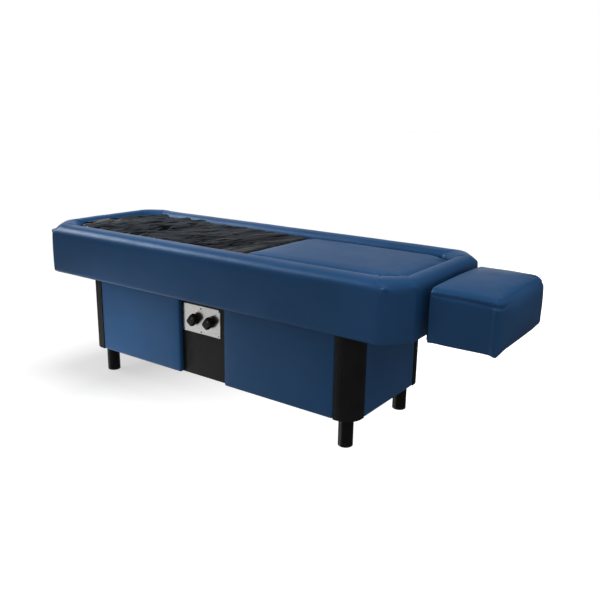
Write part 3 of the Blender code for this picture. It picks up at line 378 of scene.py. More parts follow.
def make_paints():
    """Every finish by the record's own slot name."""
    return {
        "blue_vinyl": vinyl(),
        "black_membrane_rubber": membrane_rubber(),
        "black_laminate": laminate(),
        "black_leg_lacquer": leg_lacquer(),
        "stainless_steel": steel(),
        "chromed_tube": chrome(),
        "birch_plywood": plywood(),
        "tank_plastic": moulded("tank_moulding", (0.52, 0.56, 0.58), 0.38, 0.08, 300.0),
        "white_acetal": moulded("acetal_moulding", (0.78, 0.78, 0.75), 0.36, 0.04, 420.0),
        "black_knob_plastic": moulded("knob_moulding", (0.006, 0.006, 0.0065), 0.42, 0.12, 700.0),
        "motor_paint": motor_enamel(),
        "hose_rubber": hose_rubber(),
        "brass": brass(),
        "marking": pigment("pointer_ink", (0.62, 0.62, 0.60)),
        "dial_ink": pigment("dial_marking", (0.20, 0.20, 0.20)),
    }


# --- Outlines and meshes ---

def cut_rectangle(half_length, half_width, cut):
    """A counter-clockwise rectangle about the origin whose four corners are cut off at an angle."""
    cut_x, cut_y = cut
    corners = []
    for side_x, side_y, first_along_x in ((1, -1, True), (1, 1, False), (-1, 1, True), (-1, -1, False)):
        along_x = Vector((side_x * (half_length - cut_x), side_y * half_width))
        along_y = Vector((side_x * half_length, side_y * (half_width - cut_y)))
        corners += [along_x, along_y] if first_along_x else [along_y, along_x]
    return corners


def inset(points, distance):
    """Move every side of a counter-clockwise convex polygon inwards by a distance."""
    normals = []
    for index, point in enumerate(points):
        side = (points[(index + 1) % len(points)] - point).normalized()
        normals.append(Vector((-side.y, side.x)))
    return [point + (normals[index - 1] + normals[index]) * distance
            / (1 + normals[index - 1].dot(normals[index])) for index, point in enumerate(points)]


def outline(corners, radii, arc_steps, side_steps):
    """Corner arcs of arc_steps parts, joined by straight sides of side_steps parts each."""
    arcs = []
    for index, corner in enumerate(corners):
        radius = radii[index]
        arriving = (corner - corners[index - 1]).normalized()
        leaving = (corners[(index + 1) % len(corners)] - corner).normalized()
        turn = arriving.angle(leaving)
        inwards = Vector((-arriving.y, arriving.x))
        centre = corner - arriving * radius * tan(turn / 2) + inwards * radius
        arcs.append([centre - Matrix.Rotation(turn * step / arc_steps, 2) @ inwards * radius
                     for step in range(arc_steps + 1)])
    loop = []
    for index, arc in enumerate(arcs):
        loop += arc
        start, end = arc[-1], arcs[(index + 1) % len(arcs)][0]
        count = side_steps[index]
        loop += [start.lerp(end, step / count) for step in range(1, count)]
    return np.array([(point.x, point.y) for point in loop])


def arc(centre, radius, start, end, steps):
    """Points of a profile arc, as (distance, height) pairs."""
    turns = (start + (end - start) * step / steps for step in range(steps + 1))
    return [(centre[0] + radius * cos(turn), centre[1] + radius * sin(turn)) for turn in turns]


def level(points, height):
    """Lift a plan outline, given about the deck's middle, to a height in the model's frame."""
    return np.column_stack([points[:, 0] + TABLE_X, points[:, 1], np.full(len(points), height)])


def put(name, data):
    """Add an object that holds this data."""
    made = bpy.data.objects.new(name, data)
    bpy.context.scene.collection.objects.link(made)
    return made


def mesh_from(body, name):
    """A mesh of bmesh geometry, which is freed."""
    mesh = bpy.data.meshes.new(name)
    body.to_mesh(mesh)
    body.free()
    return mesh


def declare(piece, body, node=None):
    """Hide the CAD node that a piece stands for, if one is given, and attach the piece to the body it rides
    on.
    """
    if node:
        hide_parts(node)
    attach(piece, body)


def link_mesh(name, mesh, paint, smooth_angle=50.0):
    """Put a mesh in the scene as a named piece with its finish."""
    mesh.materials.append(paint)
    mesh.shade_smooth()
    mesh.set_sharp_from_angle(angle=radians(smooth_angle))
    return put(name, mesh)


def skin(name, rows, paint, ring=False, smooth_angle=50.0):
    """Quads between equal closed loops of points, capped at both ends or closed into a ring."""
    body = bmesh.new()
    lines = [[body.verts.new(point) for point in row] for row in rows]
    pairs = list(zip(lines, lines[1:]))
    if ring:
        pairs.append((lines[-1], lines[0]))
    else:
        body.faces.new(lines[0])
        body.faces.new(lines[-1])
    for lower, upper in pairs:
        for index in range(len(lower)):
            after = (index + 1) % len(lower)
            body.faces.new((lower[index], lower[after], upper[after], upper[index]))
    bmesh.ops.recalc_face_normals(body, faces=body.faces)
    return link_mesh(name, mesh_from(body, name), paint, smooth_angle)


def subdivide(piece):
    """Smooth a piece with a Subdivision Surface modifier."""
    modifier = piece.modifiers.new("smooth", 'SUBSURF')
    modifier.levels = 1
    modifier.render_levels = 1


def hump(distance, width):
    """A bell curve, 1 at the middle."""
    return np.exp(-(distance / width) ** 2)


def swell(points, scale, amplitude):
    """Smooth uneven offsets, the same each run, for an array of points."""
    flat = points.reshape(-1, 3) * scale
    values = np.array([noise.noise(Vector(point)) for point in flat])
    return amplitude * values.reshape(points.shape[:-1])


# --- Deck rim ---

SIDE_STEPS = (8, 36, 8, 120, 8, 36, 8, 120)
ARC_STEPS = 10
FACE_CORNERS = (0.052,) * 4 + (0.086, 0.086, 0.060, 0.060)   # radii, from the front foot corner
LIP_CORNERS = (0.030,) * 4 + (0.050,) * 4
FOOT_RADIUS = 0.013
SHOULDER_SHARE = 0.50         # share of the rim's width that the outer shoulder rolls over
SHOULDER_DROP = 0.044
LIP_SHARE = 0.42
LIP_DROP = 0.038
ROLL_POWER = 2.1
SIDE_FOAM = 0.022
TOP_FOAM = 0.035
LIP_FOAM = 0.014
FOOT_ROWS = 5
FACE_ROWS = 9
SHOULDER_ROWS = 12
TOP_ROWS = 2
LIP_ROWS = 10
RIM_CROWN = 0.0032
RIM_SWELLS = (((2.6, 7.0, 4.0), 0.0018), ((9.0, 15.0, 13.0), 0.0007))
TUCKED_CORNERS = (0, 7)       # the corners whose tucks show most
SHALLOW_TUCK = 0.30           # share that the other corners' tucks reach
BEAD = (0.0130, 0.0100)       # height and radius of the gathered vinyl at a corner
CREASE = (0.0040, 0.011)
TUCKS = (                     # band, height, place along the side, half width
    ("crest", -0.0034, 0.012, 0.016),
    ("crest", -0.0022, 0.040, 0.026),
    ("strip", 0.0034, -0.003, 0.011),
    ("strip", -0.0014, 0.026, 0.014),
)
MITRE_DEPTH = 0.0034
MITRE_SIDES = 0.0014          # how far the vinyl stands up beside a mitre
WELT = 0.0022
HEAD_PUFF = 0.0075
HEAD_PUFF_SPAN = (0.16, 0.12)            # where it starts, off the head end, and how far it builds up


def deck_loop(distance, height):
    """The deck's outer outline a distance inside its face."""
    corners = inset(cut_rectangle(DECK_HALF_LENGTH, DECK_HALF_WIDTH, DECK_CORNER_CUT), distance)
    radii = [radius - distance for radius in FACE_CORNERS]
    return level(outline(corners, radii, ARC_STEPS, SIDE_STEPS), height)


def opening_loop(distance, height):
    """The opening's outline a distance outside its edge."""
    corners = inset(cut_rectangle(OPENING_HALF_LENGTH, OPENING_HALF_WIDTH, OPENING_CORNER_CUT), -distance)
    radii = [radius + distance for radius in LIP_CORNERS]
    return level(outline(corners, radii, ARC_STEPS, SIDE_STEPS), height)


def roll(steps, skip_first):
    """Quarter of a squared-off ellipse: (share across, share of the drop left), from edge to top."""
    pairs = []
    for step in range(1 if skip_first else 0, steps + 1):
        turn = pi / 2 * step / steps
        pairs.append((1.0 - cos(turn) ** (2 / ROLL_POWER), 1.0 - sin(turn) ** (2 / ROLL_POWER)))
    return pairs


def rim_rows():
    """Loops of the rim from the foot of its face, over the top, down the lip and back inside."""
    rows = []
    shoulder_z = DECK_TOP - SHOULDER_DROP
    foot_z = DECK_BOTTOM + FOOT_RADIUS
    for distance, height in arc((FOOT_RADIUS, foot_z), FOOT_RADIUS, 1.5 * pi, pi, FOOT_ROWS - 1):
        rows.append(deck_loop(distance, height))
    for step in range(1, FACE_ROWS + 1):
        rows.append(deck_loop(0.0, foot_z + (shoulder_z - foot_z) * step / FACE_ROWS))
    outer, inner = deck_loop(0.0, 0.0), opening_loop(0.0, 0.0)
    for across, drop in roll(SHOULDER_ROWS, True):
        row = outer + (inner - outer) * across * SHOULDER_SHARE
        row[:, 2] = DECK_TOP - SHOULDER_DROP * drop
        rows.append(row)
    flat = 1.0 - SHOULDER_SHARE - LIP_SHARE
    for step in range(1, TOP_ROWS + 1):
        row = outer + (inner - outer) * (SHOULDER_SHARE + flat * step / (TOP_ROWS + 1))
        row[:, 2] = DECK_TOP
        rows.append(row)
    for across, drop in reversed(roll(LIP_ROWS, False)):
        row = inner + (outer - inner) * across * LIP_SHARE
        row[:, 2] = DECK_TOP - LIP_DROP * drop
        rows.append(row)
    outside = len(rows)
    for distance, height in ((0.0, DECK_TOP - LIP_DROP - 0.006), (0.0, LIP_BOTTOM), (LIP_FOAM, LIP_BOTTOM),
                             (LIP_FOAM, DECK_TOP - TOP_FOAM)):
        rows.append(opening_loop(distance, height))
    rows.append(deck_loop(SIDE_FOAM, DECK_TOP - TOP_FOAM))
    rows.append(deck_loop(SIDE_FOAM, DECK_BOTTOM))
    return np.array(rows), outside


def grid_normals(points):
    """Unit normals of a grid of points that closes both ways, facing out of the rim."""
    along = np.roll(points, -1, axis=1) - np.roll(points, 1, axis=1)
    across = np.roll(points, -1, axis=0) - np.roll(points, 1, axis=0)
    normals = np.cross(along, across)
    return normals / np.maximum(np.linalg.norm(normals, axis=2, keepdims=True), 1e-9)


def corner_places():
    """Index of the middle of each corner's arc along a loop."""
    places = []
    start = 0
    for count in SIDE_STEPS:
        places.append(start + ARC_STEPS // 2)
        start += ARC_STEPS + count
    return places


def make_rim(paints):
    """Padded rim: crowned face and top, tension ripples, and tucks where the vinyl turns a corner."""
    points, outside = rim_rows()
    normals = grid_normals(points)
    rows = np.arange(len(points))[:, None] * np.ones(points.shape[1])
    face_end = FOOT_ROWS + FACE_ROWS
    top_end = face_end + SHOULDER_ROWS + TOP_ROWS
    push = RIM_CROWN * np.sin(pi * np.clip(rows / face_end, 0.0, 1.0))
    for scale, amount in RIM_SWELLS:
        push += swell(points, scale, amount)
    loop = points[face_end]
    steps = np.linalg.norm(np.diff(loop, axis=0), axis=1)
    perimeter = np.concatenate([[0.0], np.cumsum(steps)])
    whole = perimeter[-1] + np.linalg.norm(loop[0] - loop[-1])
    bands = {"crest": hump(rows - face_end - 4, 2.6),
             "strip": np.clip(rows / 3.0, 0.0, 1.0) * np.clip((face_end + 2 - rows) / 3.0, 0.0, 1.0)}
    mitre = hump(rows - top_end - 2, 2.8)
    for number, place in enumerate(corner_places()):
        away = (perimeter - perimeter[place] + whole / 2) % whole - whole / 2
        strong = 1.0 if number in TUCKED_CORNERS else SHALLOW_TUCK
        side = 1 if number % 2 else -1
        bead = points[face_end + 2, place - side * 2]
        crease = points[face_end + 6, place + side]
        for (height, radius), middle in ((BEAD, bead), ((-CREASE[0], CREASE[1]), crease)):
            push += strong * height * hump(np.linalg.norm(points - middle, axis=2), radius)
        for band, height, shift, width in TUCKS:
            push += strong * height * bands[band] * hump(away + side * shift, width)
        push -= MITRE_DEPTH * mitre * hump(away, 0.0055)
        push += MITRE_SIDES * mitre * hump(np.abs(away) - 0.018, 0.010)
    push += WELT * np.exp(-((rows - top_end - 3) / 0.8) ** 2)
    on_top = smooth_step((rows - face_end - 3) / 8.0) * smooth_step((outside + 2 - rows) / 10.0)
    puff_start, puff_ease = HEAD_PUFF_SPAN
    head = TABLE_X - DECK_HALF_LENGTH
    push += HEAD_PUFF * on_top * smooth_step((head + puff_start - points[..., 0]) / puff_ease)
    push[outside:] = 0.0
    push[:2] = np.minimum(push[:2], 0.0)
    points = points + normals * push[..., None]
    points[..., 0] = np.minimum(points[..., 0], RIM_HIGH.x + 0.0002)
    rim = skin("rim_cover", points, paints["blue_vinyl"], ring=True, smooth_angle=180.0)
    subdivide(rim)
    upholster(rim, "deck_rim")


def upholster(piece, node):
    """Hide the CAD node that a padded vinyl piece stands for, and attach the piece to that node's body."""
    declare(piece, NODES[node]["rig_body"], node)


# --- Cushions ---

SETTLE_FRAMES = 20
STUFFING_PRESSURE = 3.0
PAD_VOXEL = 0.006
PAD_SHRINK = 0.003            # taken off before the stuffing swells the pad
PAD_HELD = 0.012              # the pad's lowest part stays on its board
PAD_SWELL = 0.005
PAD_CROWN = 0.012
PAD_OVERLAP = 0.008           # how far the pad reaches over the edge beside the membrane
BLOCK_CUTS = 56
BLOCK_EDGE = 0.016            # least edge radius of the foot block
BLOCK_BACK_EDGE = 0.006       # edge radius where it meets its board
BLOCK_EDGE_LIMIT = 0.060
BLOCK_CROWNS = (0.009, 0.005, 0.015)     # of its end, sides and top
BLOCK_SWELL = 0.006
BOARD_CLEARANCE = 0.0008
SEAM_DROP = 0.019             # the side seams' depth under the block's top, and how much they sag
SEAM_BOW = 0.008
SEAM_HALF_WIDTH = 0.0048


def vertex_array(mesh):
    """A mesh's vertices as rows of an array."""
    values = np.zeros(len(mesh.vertices) * 3)
    mesh.vertices.foreach_get("co", values)
    return values.reshape(-1, 3)


def normal_array(mesh):
    """A mesh's vertex normals as rows of an array."""
    values = np.zeros(len(mesh.vertices) * 3)
    mesh.vertex_normals.foreach_get("vector", values)
    return values.reshape(-1, 3)


def write_vertices(mesh, points):
    """Put an array's rows back as a mesh's vertices."""
    mesh.vertices.foreach_set("co", points.ravel())
    mesh.update()


def bake_modifiers(piece):
    """Replace a piece's mesh by what its modifiers make of it."""
    graph = bpy.context.evaluated_depsgraph_get()
    baked = bpy.data.meshes.new_from_object(piece.evaluated_get(graph), depsgraph=graph)
    piece.modifiers.clear()
    old = piece.data
    piece.data = baked
    bpy.data.meshes.remove(old)
    baked.name = piece.name
    baked.shade_smooth()


def settle(piece, held, pressure, cap):
    """Inflate a piece as cloth, with held the pull on each vertex, and move none by more than cap."""
    start = vertex_array(piece.data)
    group = piece.vertex_groups.new(name="held")
    for index in np.nonzero(held > 0.0)[0]:
        group.add([int(index)], float(held[index]), 'REPLACE')
    cloth = piece.modifiers.new("stuffing", 'CLOTH')
    cloth.settings.use_pressure = True
    cloth.settings.uniform_pressure_force = pressure
    cloth.settings.effector_weights.gravity = 0.0
    cloth.settings.vertex_group_mass = group.name
    for number in range(1, SETTLE_FRAMES + 1):
        bpy.context.scene.frame_set(number)
    bake_modifiers(piece)
    bpy.context.scene.frame_set(1)
    piece.vertex_groups.clear()
    moved = vertex_array(piece.data) - start
    reach = np.linalg.norm(moved, axis=1, keepdims=True)
    write_vertices(piece.data, start + moved * np.minimum(1.0, cap / np.maximum(reach, 1e-9)))


def make_leg_pad(paints):
    """Crowned leg pad that lies flat on its board."""
    mesh = NODES["leg_pad"].data.copy()
    mesh.materials.clear()
    pad = link_mesh("leg_pad_cover", mesh, paints["blue_vinyl"])
    remesh = pad.modifiers.new("even", 'REMESH')
    remesh.mode = 'VOXEL'
    remesh.voxel_size = PAD_VOXEL
    bake_modifiers(pad)
    low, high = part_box("leg_pad")
    write_vertices(pad.data, vertex_array(pad.data) - normal_array(pad.data) * PAD_SHRINK)
    held = vertex_array(pad.data)[:, 2] < low.z + PAD_HELD
    settle(pad, held.astype(float), STUFFING_PRESSURE, PAD_SWELL)
    points = vertex_array(pad.data)
    x, y, z = points.T
    lift = np.clip((z - low.z - 0.018) / 0.014, 0.0, 1.0)
    across = np.clip(1.0 - (y / high.y) ** 2, 0.0, 1.0)
    middle = (low.x + high.x) / 2
    along = np.clip(1.0 - ((x - middle) / (high.x - middle)) ** 2, 0.0, 1.0)
    z += lift * PAD_CROWN * (across * along) ** 0.35
    from_edge = np.minimum(np.minimum(high.y - np.abs(y), high.x - x), x - low.x)
    z -= lift * 0.003 * np.exp(-np.clip(from_edge, 0.0, None) / 0.022)
    np.maximum(z, low.z, out=z)
    x -= PAD_OVERLAP * smooth_step(1.0 - (x - low.x) / 0.080)
    np.maximum(x, low.x - 0.0105, out=x)
    write_vertices(pad.data, points)
    subdivide(pad)
    upholster(pad, "leg_pad")


def smooth_step(value):
    """Ease from 0 to 1 as the value goes from 0 to 1."""
    value = np.clip(value, 0.0, 1.0)
    return value * value * (3.0 - 2.0 * value)


def block_grid():
    """A cube of side 2 with every face cut into an even grid."""
    body = bmesh.new()
    bmesh.ops.create_cube(body, size=2.0)
    bmesh.ops.subdivide_edges(body, edges=body.edges, cuts=BLOCK_CUTS, use_grid_fill=True)
    return mesh_from(body, "extension_cover")


def pillow(shares, near, high):
    """Rounded, crowned block between two corners, its top rolled furthest over the end."""
    centre = np.array((near + high) / 2)
    half = np.array((high - near) / 2)
    points = centre + shares * half
    along, across, up = shares.T
    out = (along + 1.0) / 2.0
    upper = smooth_step((up - 0.2) / 0.6)
    edge = np.full(len(points), BLOCK_EDGE) + 0.008 * upper
    edge += upper * smooth_step((out - 0.45) / 0.5) * (0.004 + 0.018 * (1.0 - across ** 2))
    edge += 0.010 * smooth_step((across - 0.5) / 0.5) * smooth_step((out - 0.5) / 0.5)
    edge -= 0.010 * smooth_step((-up - 0.6) / 0.4) * smooth_step((-across - 0.6) / 0.4)
    edge = np.minimum(edge, BLOCK_EDGE_LIMIT)[:, None]
    inner = np.clip(points, centre - half + edge, centre + half - edge)
    inner[:, 0] = np.maximum(points[:, 0], near.x + BLOCK_BACK_EDGE)
    inner[:, 0] = np.minimum(inner[:, 0], (centre + half)[0] - edge[:, 0])
    ray = points - inner
    length = np.maximum(np.linalg.norm(ray, axis=1, keepdims=True), 1e-9)
    reach = np.minimum(edge, np.where(shares[:, :1] < -0.999, BLOCK_BACK_EDGE, edge))
    points = inner + ray / length * reach
    flat_x, flat_y, flat_z = np.clip(1.0 - shares ** 2, 0.0, 1.0).T
    on_end, on_side, on_top = (smooth_step((share - 0.80) / 0.2) * crown
                               for share, crown in zip((along, np.abs(across), up), BLOCK_CROWNS))
    points[:, 0] += on_end * flat_y ** 0.6 * flat_z ** 0.6
    points[:, 1] += np.sign(across) * on_side * flat_x ** 0.6 * flat_z ** 0.6
    points[:, 2] += on_top * (flat_y ** 0.5) * (0.35 + 0.65 * flat_x ** 0.6)
    return points


def ease(piece, chosen):
    """Even out the chosen vertices of a piece."""
    eased = piece.modifiers.new("eased", 'SMOOTH')
    eased.factor = 0.5
    eased.iterations = 10
    group = piece.vertex_groups.new(name="eased")
    group.add(np.nonzero(chosen)[0].tolist(), 1.0, 'REPLACE')
    eased.vertex_group = group.name
    bake_modifiers(piece)
    piece.vertex_groups.clear()


def sew(mesh, shares, near, low, high):
    """Sink the side seams, raise the end folds with a pucker, and pull the hem's corners to points."""
    points, normals = vertex_array(mesh), normal_array(mesh)
    along, across, up = shares.T
    out = (along + 1.0) / 2.0
    bow = np.clip((out - 0.45) / 0.55, 0.0, 1.0) ** 2
    push = swell(points, (9.0, 9.0, 14.0), 0.0016)
    for side in (-1.0, 1.0):
        wall = hump(across - side, 0.24)
        seam = points[:, 2] - (high.z - SEAM_DROP - SEAM_BOW * bow)
        push -= wall * 0.0050 * hump(seam, SEAM_HALF_WIDTH) * (0.4 + 0.6 * out)
        push += wall * 0.0016 * hump(seam - 0.012, 0.007)
        fold = hump(points[:, 0] - (high.x - 0.014), 0.010) * hump(across - side, 0.16)
        push += 0.0042 * fold * smooth_step((0.86 - up) / 0.3)
        corner = np.array((high.x - 0.012, side * high.y, high.z - 0.032))
        push += 0.0065 * hump(np.linalg.norm(points - corner, axis=1), 0.011)
        for x in (near.x + 0.010, high.x - 0.004):
            tip = np.array((x, side * (high.y - 0.002), low.z + 0.002))
            pull = hump(np.linalg.norm(points - tip, axis=1), 0.014)[:, None]
            points += pull * (tip + np.array((0.0, 0.0, -0.004)) - points) * 0.55
    push *= smooth_step((out - 0.02) / 0.05)
    write_vertices(mesh, points + normals * push[:, None])


def make_extension(paints):
    """Pillowy foot block with sewn-in side panels, wrapped round its board."""
    low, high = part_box("foot_extension")
    board_low, board_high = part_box("extension_board")
    near = Vector((board_low.x + BOARD_CLEARANCE, low.y, low.z))
    mesh = block_grid()
    shares = vertex_array(mesh)
    write_vertices(mesh, pillow(shares, near, high))
    block = link_mesh("extension_cover", mesh, paints["blue_vinyl"], 180.0)
    along, _, up = shares.T
    ease(block, (up > -0.75) & (along > -0.85))
    edges = (np.abs(shares) > 0.9).sum(axis=1) >= 2
    fixed = edges | (along < -0.9) | (up < -0.97)
    settle(block, fixed.astype(float), STUFFING_PRESSURE, BLOCK_SWELL)
    sew(block.data, shares, near, low, high)
    subdivide(block)
    bake_modifiers(block)
    beside = Vector((0.0, BOARD_CLEARANCE, BOARD_CLEARANCE))
    cut_box(block, board_low - beside - Vector((0.002, 0.0, 0.0)),
            board_high + beside + Vector((0.0004, 0.0, 0.0)))
    upholster(block, "foot_extension")


def cut_box(piece, low, high):
    """Cut a box between two corners out of a piece."""
    body = bmesh.new()
    bmesh.ops.create_cube(body, size=1.0, matrix=Matrix.LocRotScale((high + low) / 2, None, high - low))
    mesh = mesh_from(body, "cut_box")
    cutter = put("cut_box", mesh)
    cut = piece.modifiers.new("recess", 'BOOLEAN')
    cut.operation = 'DIFFERENCE'
    cut.solver = 'EXACT'
    cut.object = cutter
    bake_modifiers(piece)
    piece.data.set_sharp_from_angle(angle=radians(60.0))
    bpy.data.objects.remove(cutter, do_unlink=True)
    bpy.data.meshes.remove(mesh)


# --- Membrane ---

MEMBRANE_STEPS = (400, 210)
MEMBRANE_SKIN = 0.0015        # thickness of the sheet that is drawn
FOLD_DIRECTION = radians(66.0)
FOLD_HEIGHTS = (0.0060, 0.0150, 0.0078)  # of the broad, middle and fine folds
FOLD_LEAN = 0.004
EDGE_RISE = 0.0035            # how far from its clamped edge the sheet stands up
EDGE_RAISE = (0.012, 0.004)   # how much it stands up, and how much more at the head end
CROWN_REACH = 0.070
SLACK_REACH = 0.022
BUNCH_PLACE = (0.070, -0.110)            # off the head end and the middle line
BUNCH_REACH = (0.055, 0.090)
RIDGE_PLACE = (0.058, -0.130)
RIDGE_HEIGHT = 0.018


def membrane_half_width(x, low, high):
    """Half the membrane's width at x: narrower towards the cut corners at the head end."""
    cut_x, cut_y = OPENING_CORNER_CUT
    share = np.clip((x - low.x) / cut_x, 0.0, 1.0)
    return high.y - cut_y * (1.0 - share)


def field(points, scale, seed, height=0.0):
    """Smooth noise over a plan, sampled at two scaled coordinates."""
    return np.array([noise.noise(Vector((u * scale[0] + seed, v * scale[1], height))) for u, v in points])


def fold_heights(x, y, slack):
    """Heights of long overlapping folds that run diagonally across the sheet, 0 where it is taut."""
    along = x * cos(FOLD_DIRECTION) + y * sin(FOLD_DIRECTION)
    across = y * cos(FOLD_DIRECTION) - x * sin(FOLD_DIRECTION)
    plan = np.column_stack([along, across])
    bent = across + 0.035 * field(plan, (3.0, 4.0), 7.0) + 0.010 * field(plan, (11.0, 9.0), 3.0)
    plan = np.column_stack([along, bent])
    broad = 1.0 - 2.2 * np.abs(field(plan, (2.0, 9.0), 0.0))
    middle = 1.0 - 3.2 * np.abs(field(plan, (2.4, 26.0), 21.0)) ** 0.8
    fine = 1.0 - 3.2 * np.abs(field(plan, (4.0, 58.0), 43.0)) ** 0.8
    patches = 0.5 + 0.9 * field(plan, (4.0, 6.0), 61.0)
    broad_height, middle_height, fine_height = FOLD_HEIGHTS
    return slack * (broad_height * broad + middle_height * middle * np.clip(patches + 0.35, 0.25, 1.2)
                    + fine_height * fine * np.clip(patches + 0.1, 0.25, 1.0))


def sheet_grid(low, high):
    """An even flat grid over the opening's plan."""
    count_x, count_y = MEMBRANE_STEPS
    body = bmesh.new()
    rows = []
    for i in range(count_x + 1):
        x = low.x + (high.x - low.x) * i / count_x
        half = float(membrane_half_width(x, low, high))
        rows.append([body.verts.new((x, half * (2 * j / count_y - 1), low.z)) for j in range(count_y + 1)])
    for row, after in zip(rows, rows[1:]):
        for j in range(count_y):
            body.faces.new((row[j], after[j], after[j + 1], row[j + 1]))
    return mesh_from(body, "membrane_sheet")


def drape(points, low, high):
    """Lift the sheet off its clamped edge, fold it, and bunch it up near its front head corner."""
    x, y, z = points.T
    share = (x - low.x) / (high.x - low.x)
    from_side = membrane_half_width(x, low, high) - np.abs(y)
    edge = np.clip(np.minimum(np.minimum(x - low.x, high.x - x), from_side), 0.0, None)
    rise = 1.0 - np.exp(-edge / EDGE_RISE)
    crown = 1.0 - np.exp(-edge / CROWN_REACH)
    slack = (0.14 + (1.0 - share) ** 0.8) * smooth_step(edge / SLACK_REACH)
    z[:] = low.z + 0.0015 + (high.z - low.z - 0.011) * rise + 0.003 * crown
    z += (EDGE_RAISE[0] + EDGE_RAISE[1] * (1.0 - share) ** 3) * rise * (1.0 - 0.4 * crown)
    plan = np.column_stack([x, y])
    crumple = 1.4 * field(plan, (24.0, 17.0), 11.0) + 0.6 * field(plan, (60.0, 44.0), 5.0)
    bunch = hump(x - low.x - BUNCH_PLACE[0], BUNCH_REACH[0]) * hump(y - BUNCH_PLACE[1], BUNCH_REACH[1])
    z += fold_heights(x, y, slack) + bunch * (0.006 + 0.022 * crumple)
    lean = (x - low.x - RIDGE_PLACE[0] - 0.014 * np.sin(30.0 * y)) / 0.020
    lean *= np.where(lean > 0.0, 2.2, 0.7)
    z += RIDGE_HEIGHT * np.exp(-lean ** 2) * np.exp(-((y - RIDGE_PLACE[1]) / 0.062) ** 4)
    drag = field(np.column_stack([x + y, y - x]), (2.2, 14.0), 31.0) * slack * FOLD_LEAN
    x += drag * sin(FOLD_DIRECTION)
    y -= drag * cos(FOLD_DIRECTION) * smooth_step(edge / 0.040)
    np.clip(z, low.z + 0.0012, DECK_TOP - 0.001, out=z)


def make_membrane(paints):
    """Rubber sheet held at its edges over the water, slack enough to lie in long folds."""
    low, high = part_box("water_membrane")
    mesh = sheet_grid(low, high)
    sheet = link_mesh("membrane_sheet", mesh, paints["black_membrane_rubber"], 180.0)
    points = vertex_array(mesh)
    drape(points, low, high)
    write_vertices(mesh, points)
    thick = sheet.modifiers.new("thickness", 'SOLIDIFY')
    thick.thickness = MEMBRANE_SKIN
    thick.offset = -1.0
    declare(sheet, NODES["water_membrane"]["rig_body"], "water_membrane")


# --- Cabinet panels ---

PANEL_EDGE = 0.008
PANEL_CROWN = 0.0025
PANEL_EASE = 0.035            # how far in from its edge a panel swells
INLET_MARGIN = Vector((0.002, 0.010, 0.002))
PIN_SIZE = Vector((0.0018, 0.014, 0.0042))


def make_panel(node, axis, side, paints):
    """Vinyl-covered board with rounded edges and a soft crown; axis and side say which way it faces."""
    low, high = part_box(node)
    other = 1 - axis
    half = ((high[other] - low[other]) / 2, (high.z - low.z) / 2)
    middle = ((high[other] + low[other]) / 2, (high.z + low.z) / 2)
    face = high[axis] if side > 0 else low[axis]
    depth = high[axis] - low[axis]
    corners = [Vector((x * half[0], y * half[1])) for x, y in ((-1, -1), (1, -1), (1, 1), (-1, 1))]
    sides = (max(4, round(half[0] / 0.012)), 16) * 2
    rows = []
    levels = [(0.0, depth), (0.0, depth / 2)] + arc((PANEL_EDGE, PANEL_EDGE), PANEL_EDGE, pi, 1.5 * pi, 5)
    levels += [(PANEL_EDGE + reach, -PANEL_CROWN * (1.0 - exp(-reach / PANEL_EASE)))
               for reach in (0.008, 0.020, 0.036, 0.056, 0.080)]
    for distance, back in levels:
        flat = outline(inset(corners, distance), (max(0.010 - distance, 0.003),) * 4, 3, sides)
        row = np.zeros((len(flat), 3))
        row[:, other] = flat[:, 0] + middle[0]
        row[:, 2] = flat[:, 1] + middle[1]
        row[:, axis] = face - side * back
        rows.append(row)
    return skin(node + "_cover", rows, paints["blue_vinyl"])


def make_panels(paints):
    """Covers of every cabinet panel, the rear one open for the power inlet."""
    inlet_low, inlet_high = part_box("power_inlet")
    for node, axis, side in (("front_panel_head", 1, -1), ("front_panel_foot", 1, -1),
                             ("end_panel_head", 0, -1), ("end_panel_foot", 0, 1), ("rear_panel", 1, 1)):
        piece = make_panel(node, axis, side, paints)
        if node == "rear_panel":
            cut_box(piece, inlet_low - INLET_MARGIN, inlet_high + INLET_MARGIN)
        upholster(piece, node)


def make_inlet_pins(paints):
    """Three flat contacts in the power inlet's pocket."""
    low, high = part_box("power_inlet")
    body = bmesh.new()
    for x, z in ((-0.0075, -0.0012), (0.0, 0.0018), (0.0075, -0.0012)):
        middle = Vector(((low.x + high.x) / 2 + x, high.y - 0.0135, (low.z + high.z) / 2 + z))
        bmesh.ops.create_cube(body, size=1.0, matrix=Matrix.LocRotScale(middle, None, PIN_SIZE))
    pins = link_mesh("inlet_pins", mesh_from(body, "inlet_pins"), paints["brass"], 30.0)
    declare(pins, "table")


def make_grommets(paints):
    """Collar round each rod where it passes the rim's foot end."""
    profile = ((0.0136, -0.006), (0.0136, 0.0004), (0.0142, 0.0007), (0.0196, 0.0007), (0.0204, 0.0002),
               (0.0206, -0.001), (0.0206, -0.006))
    turns = [2 * pi * step / 40 for step in range(40)]
    for word in ("front", "rear"):
        low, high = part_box("extension_rod_" + word)
        y, z = (low.y + high.y) / 2, (low.z + high.z) / 2
        rows = [[(RIM_HIGH.x + along, y + radius * cos(turn), z + radius * sin(turn)) for turn in turns]
                for radius, along in profile]
        collar = skin("rod_grommet_" + word, rows, paints["black_knob_plastic"], True, 40.0)
        declare(collar, "table")


# --- Control knobs, their dials and the plate's fastenings ---

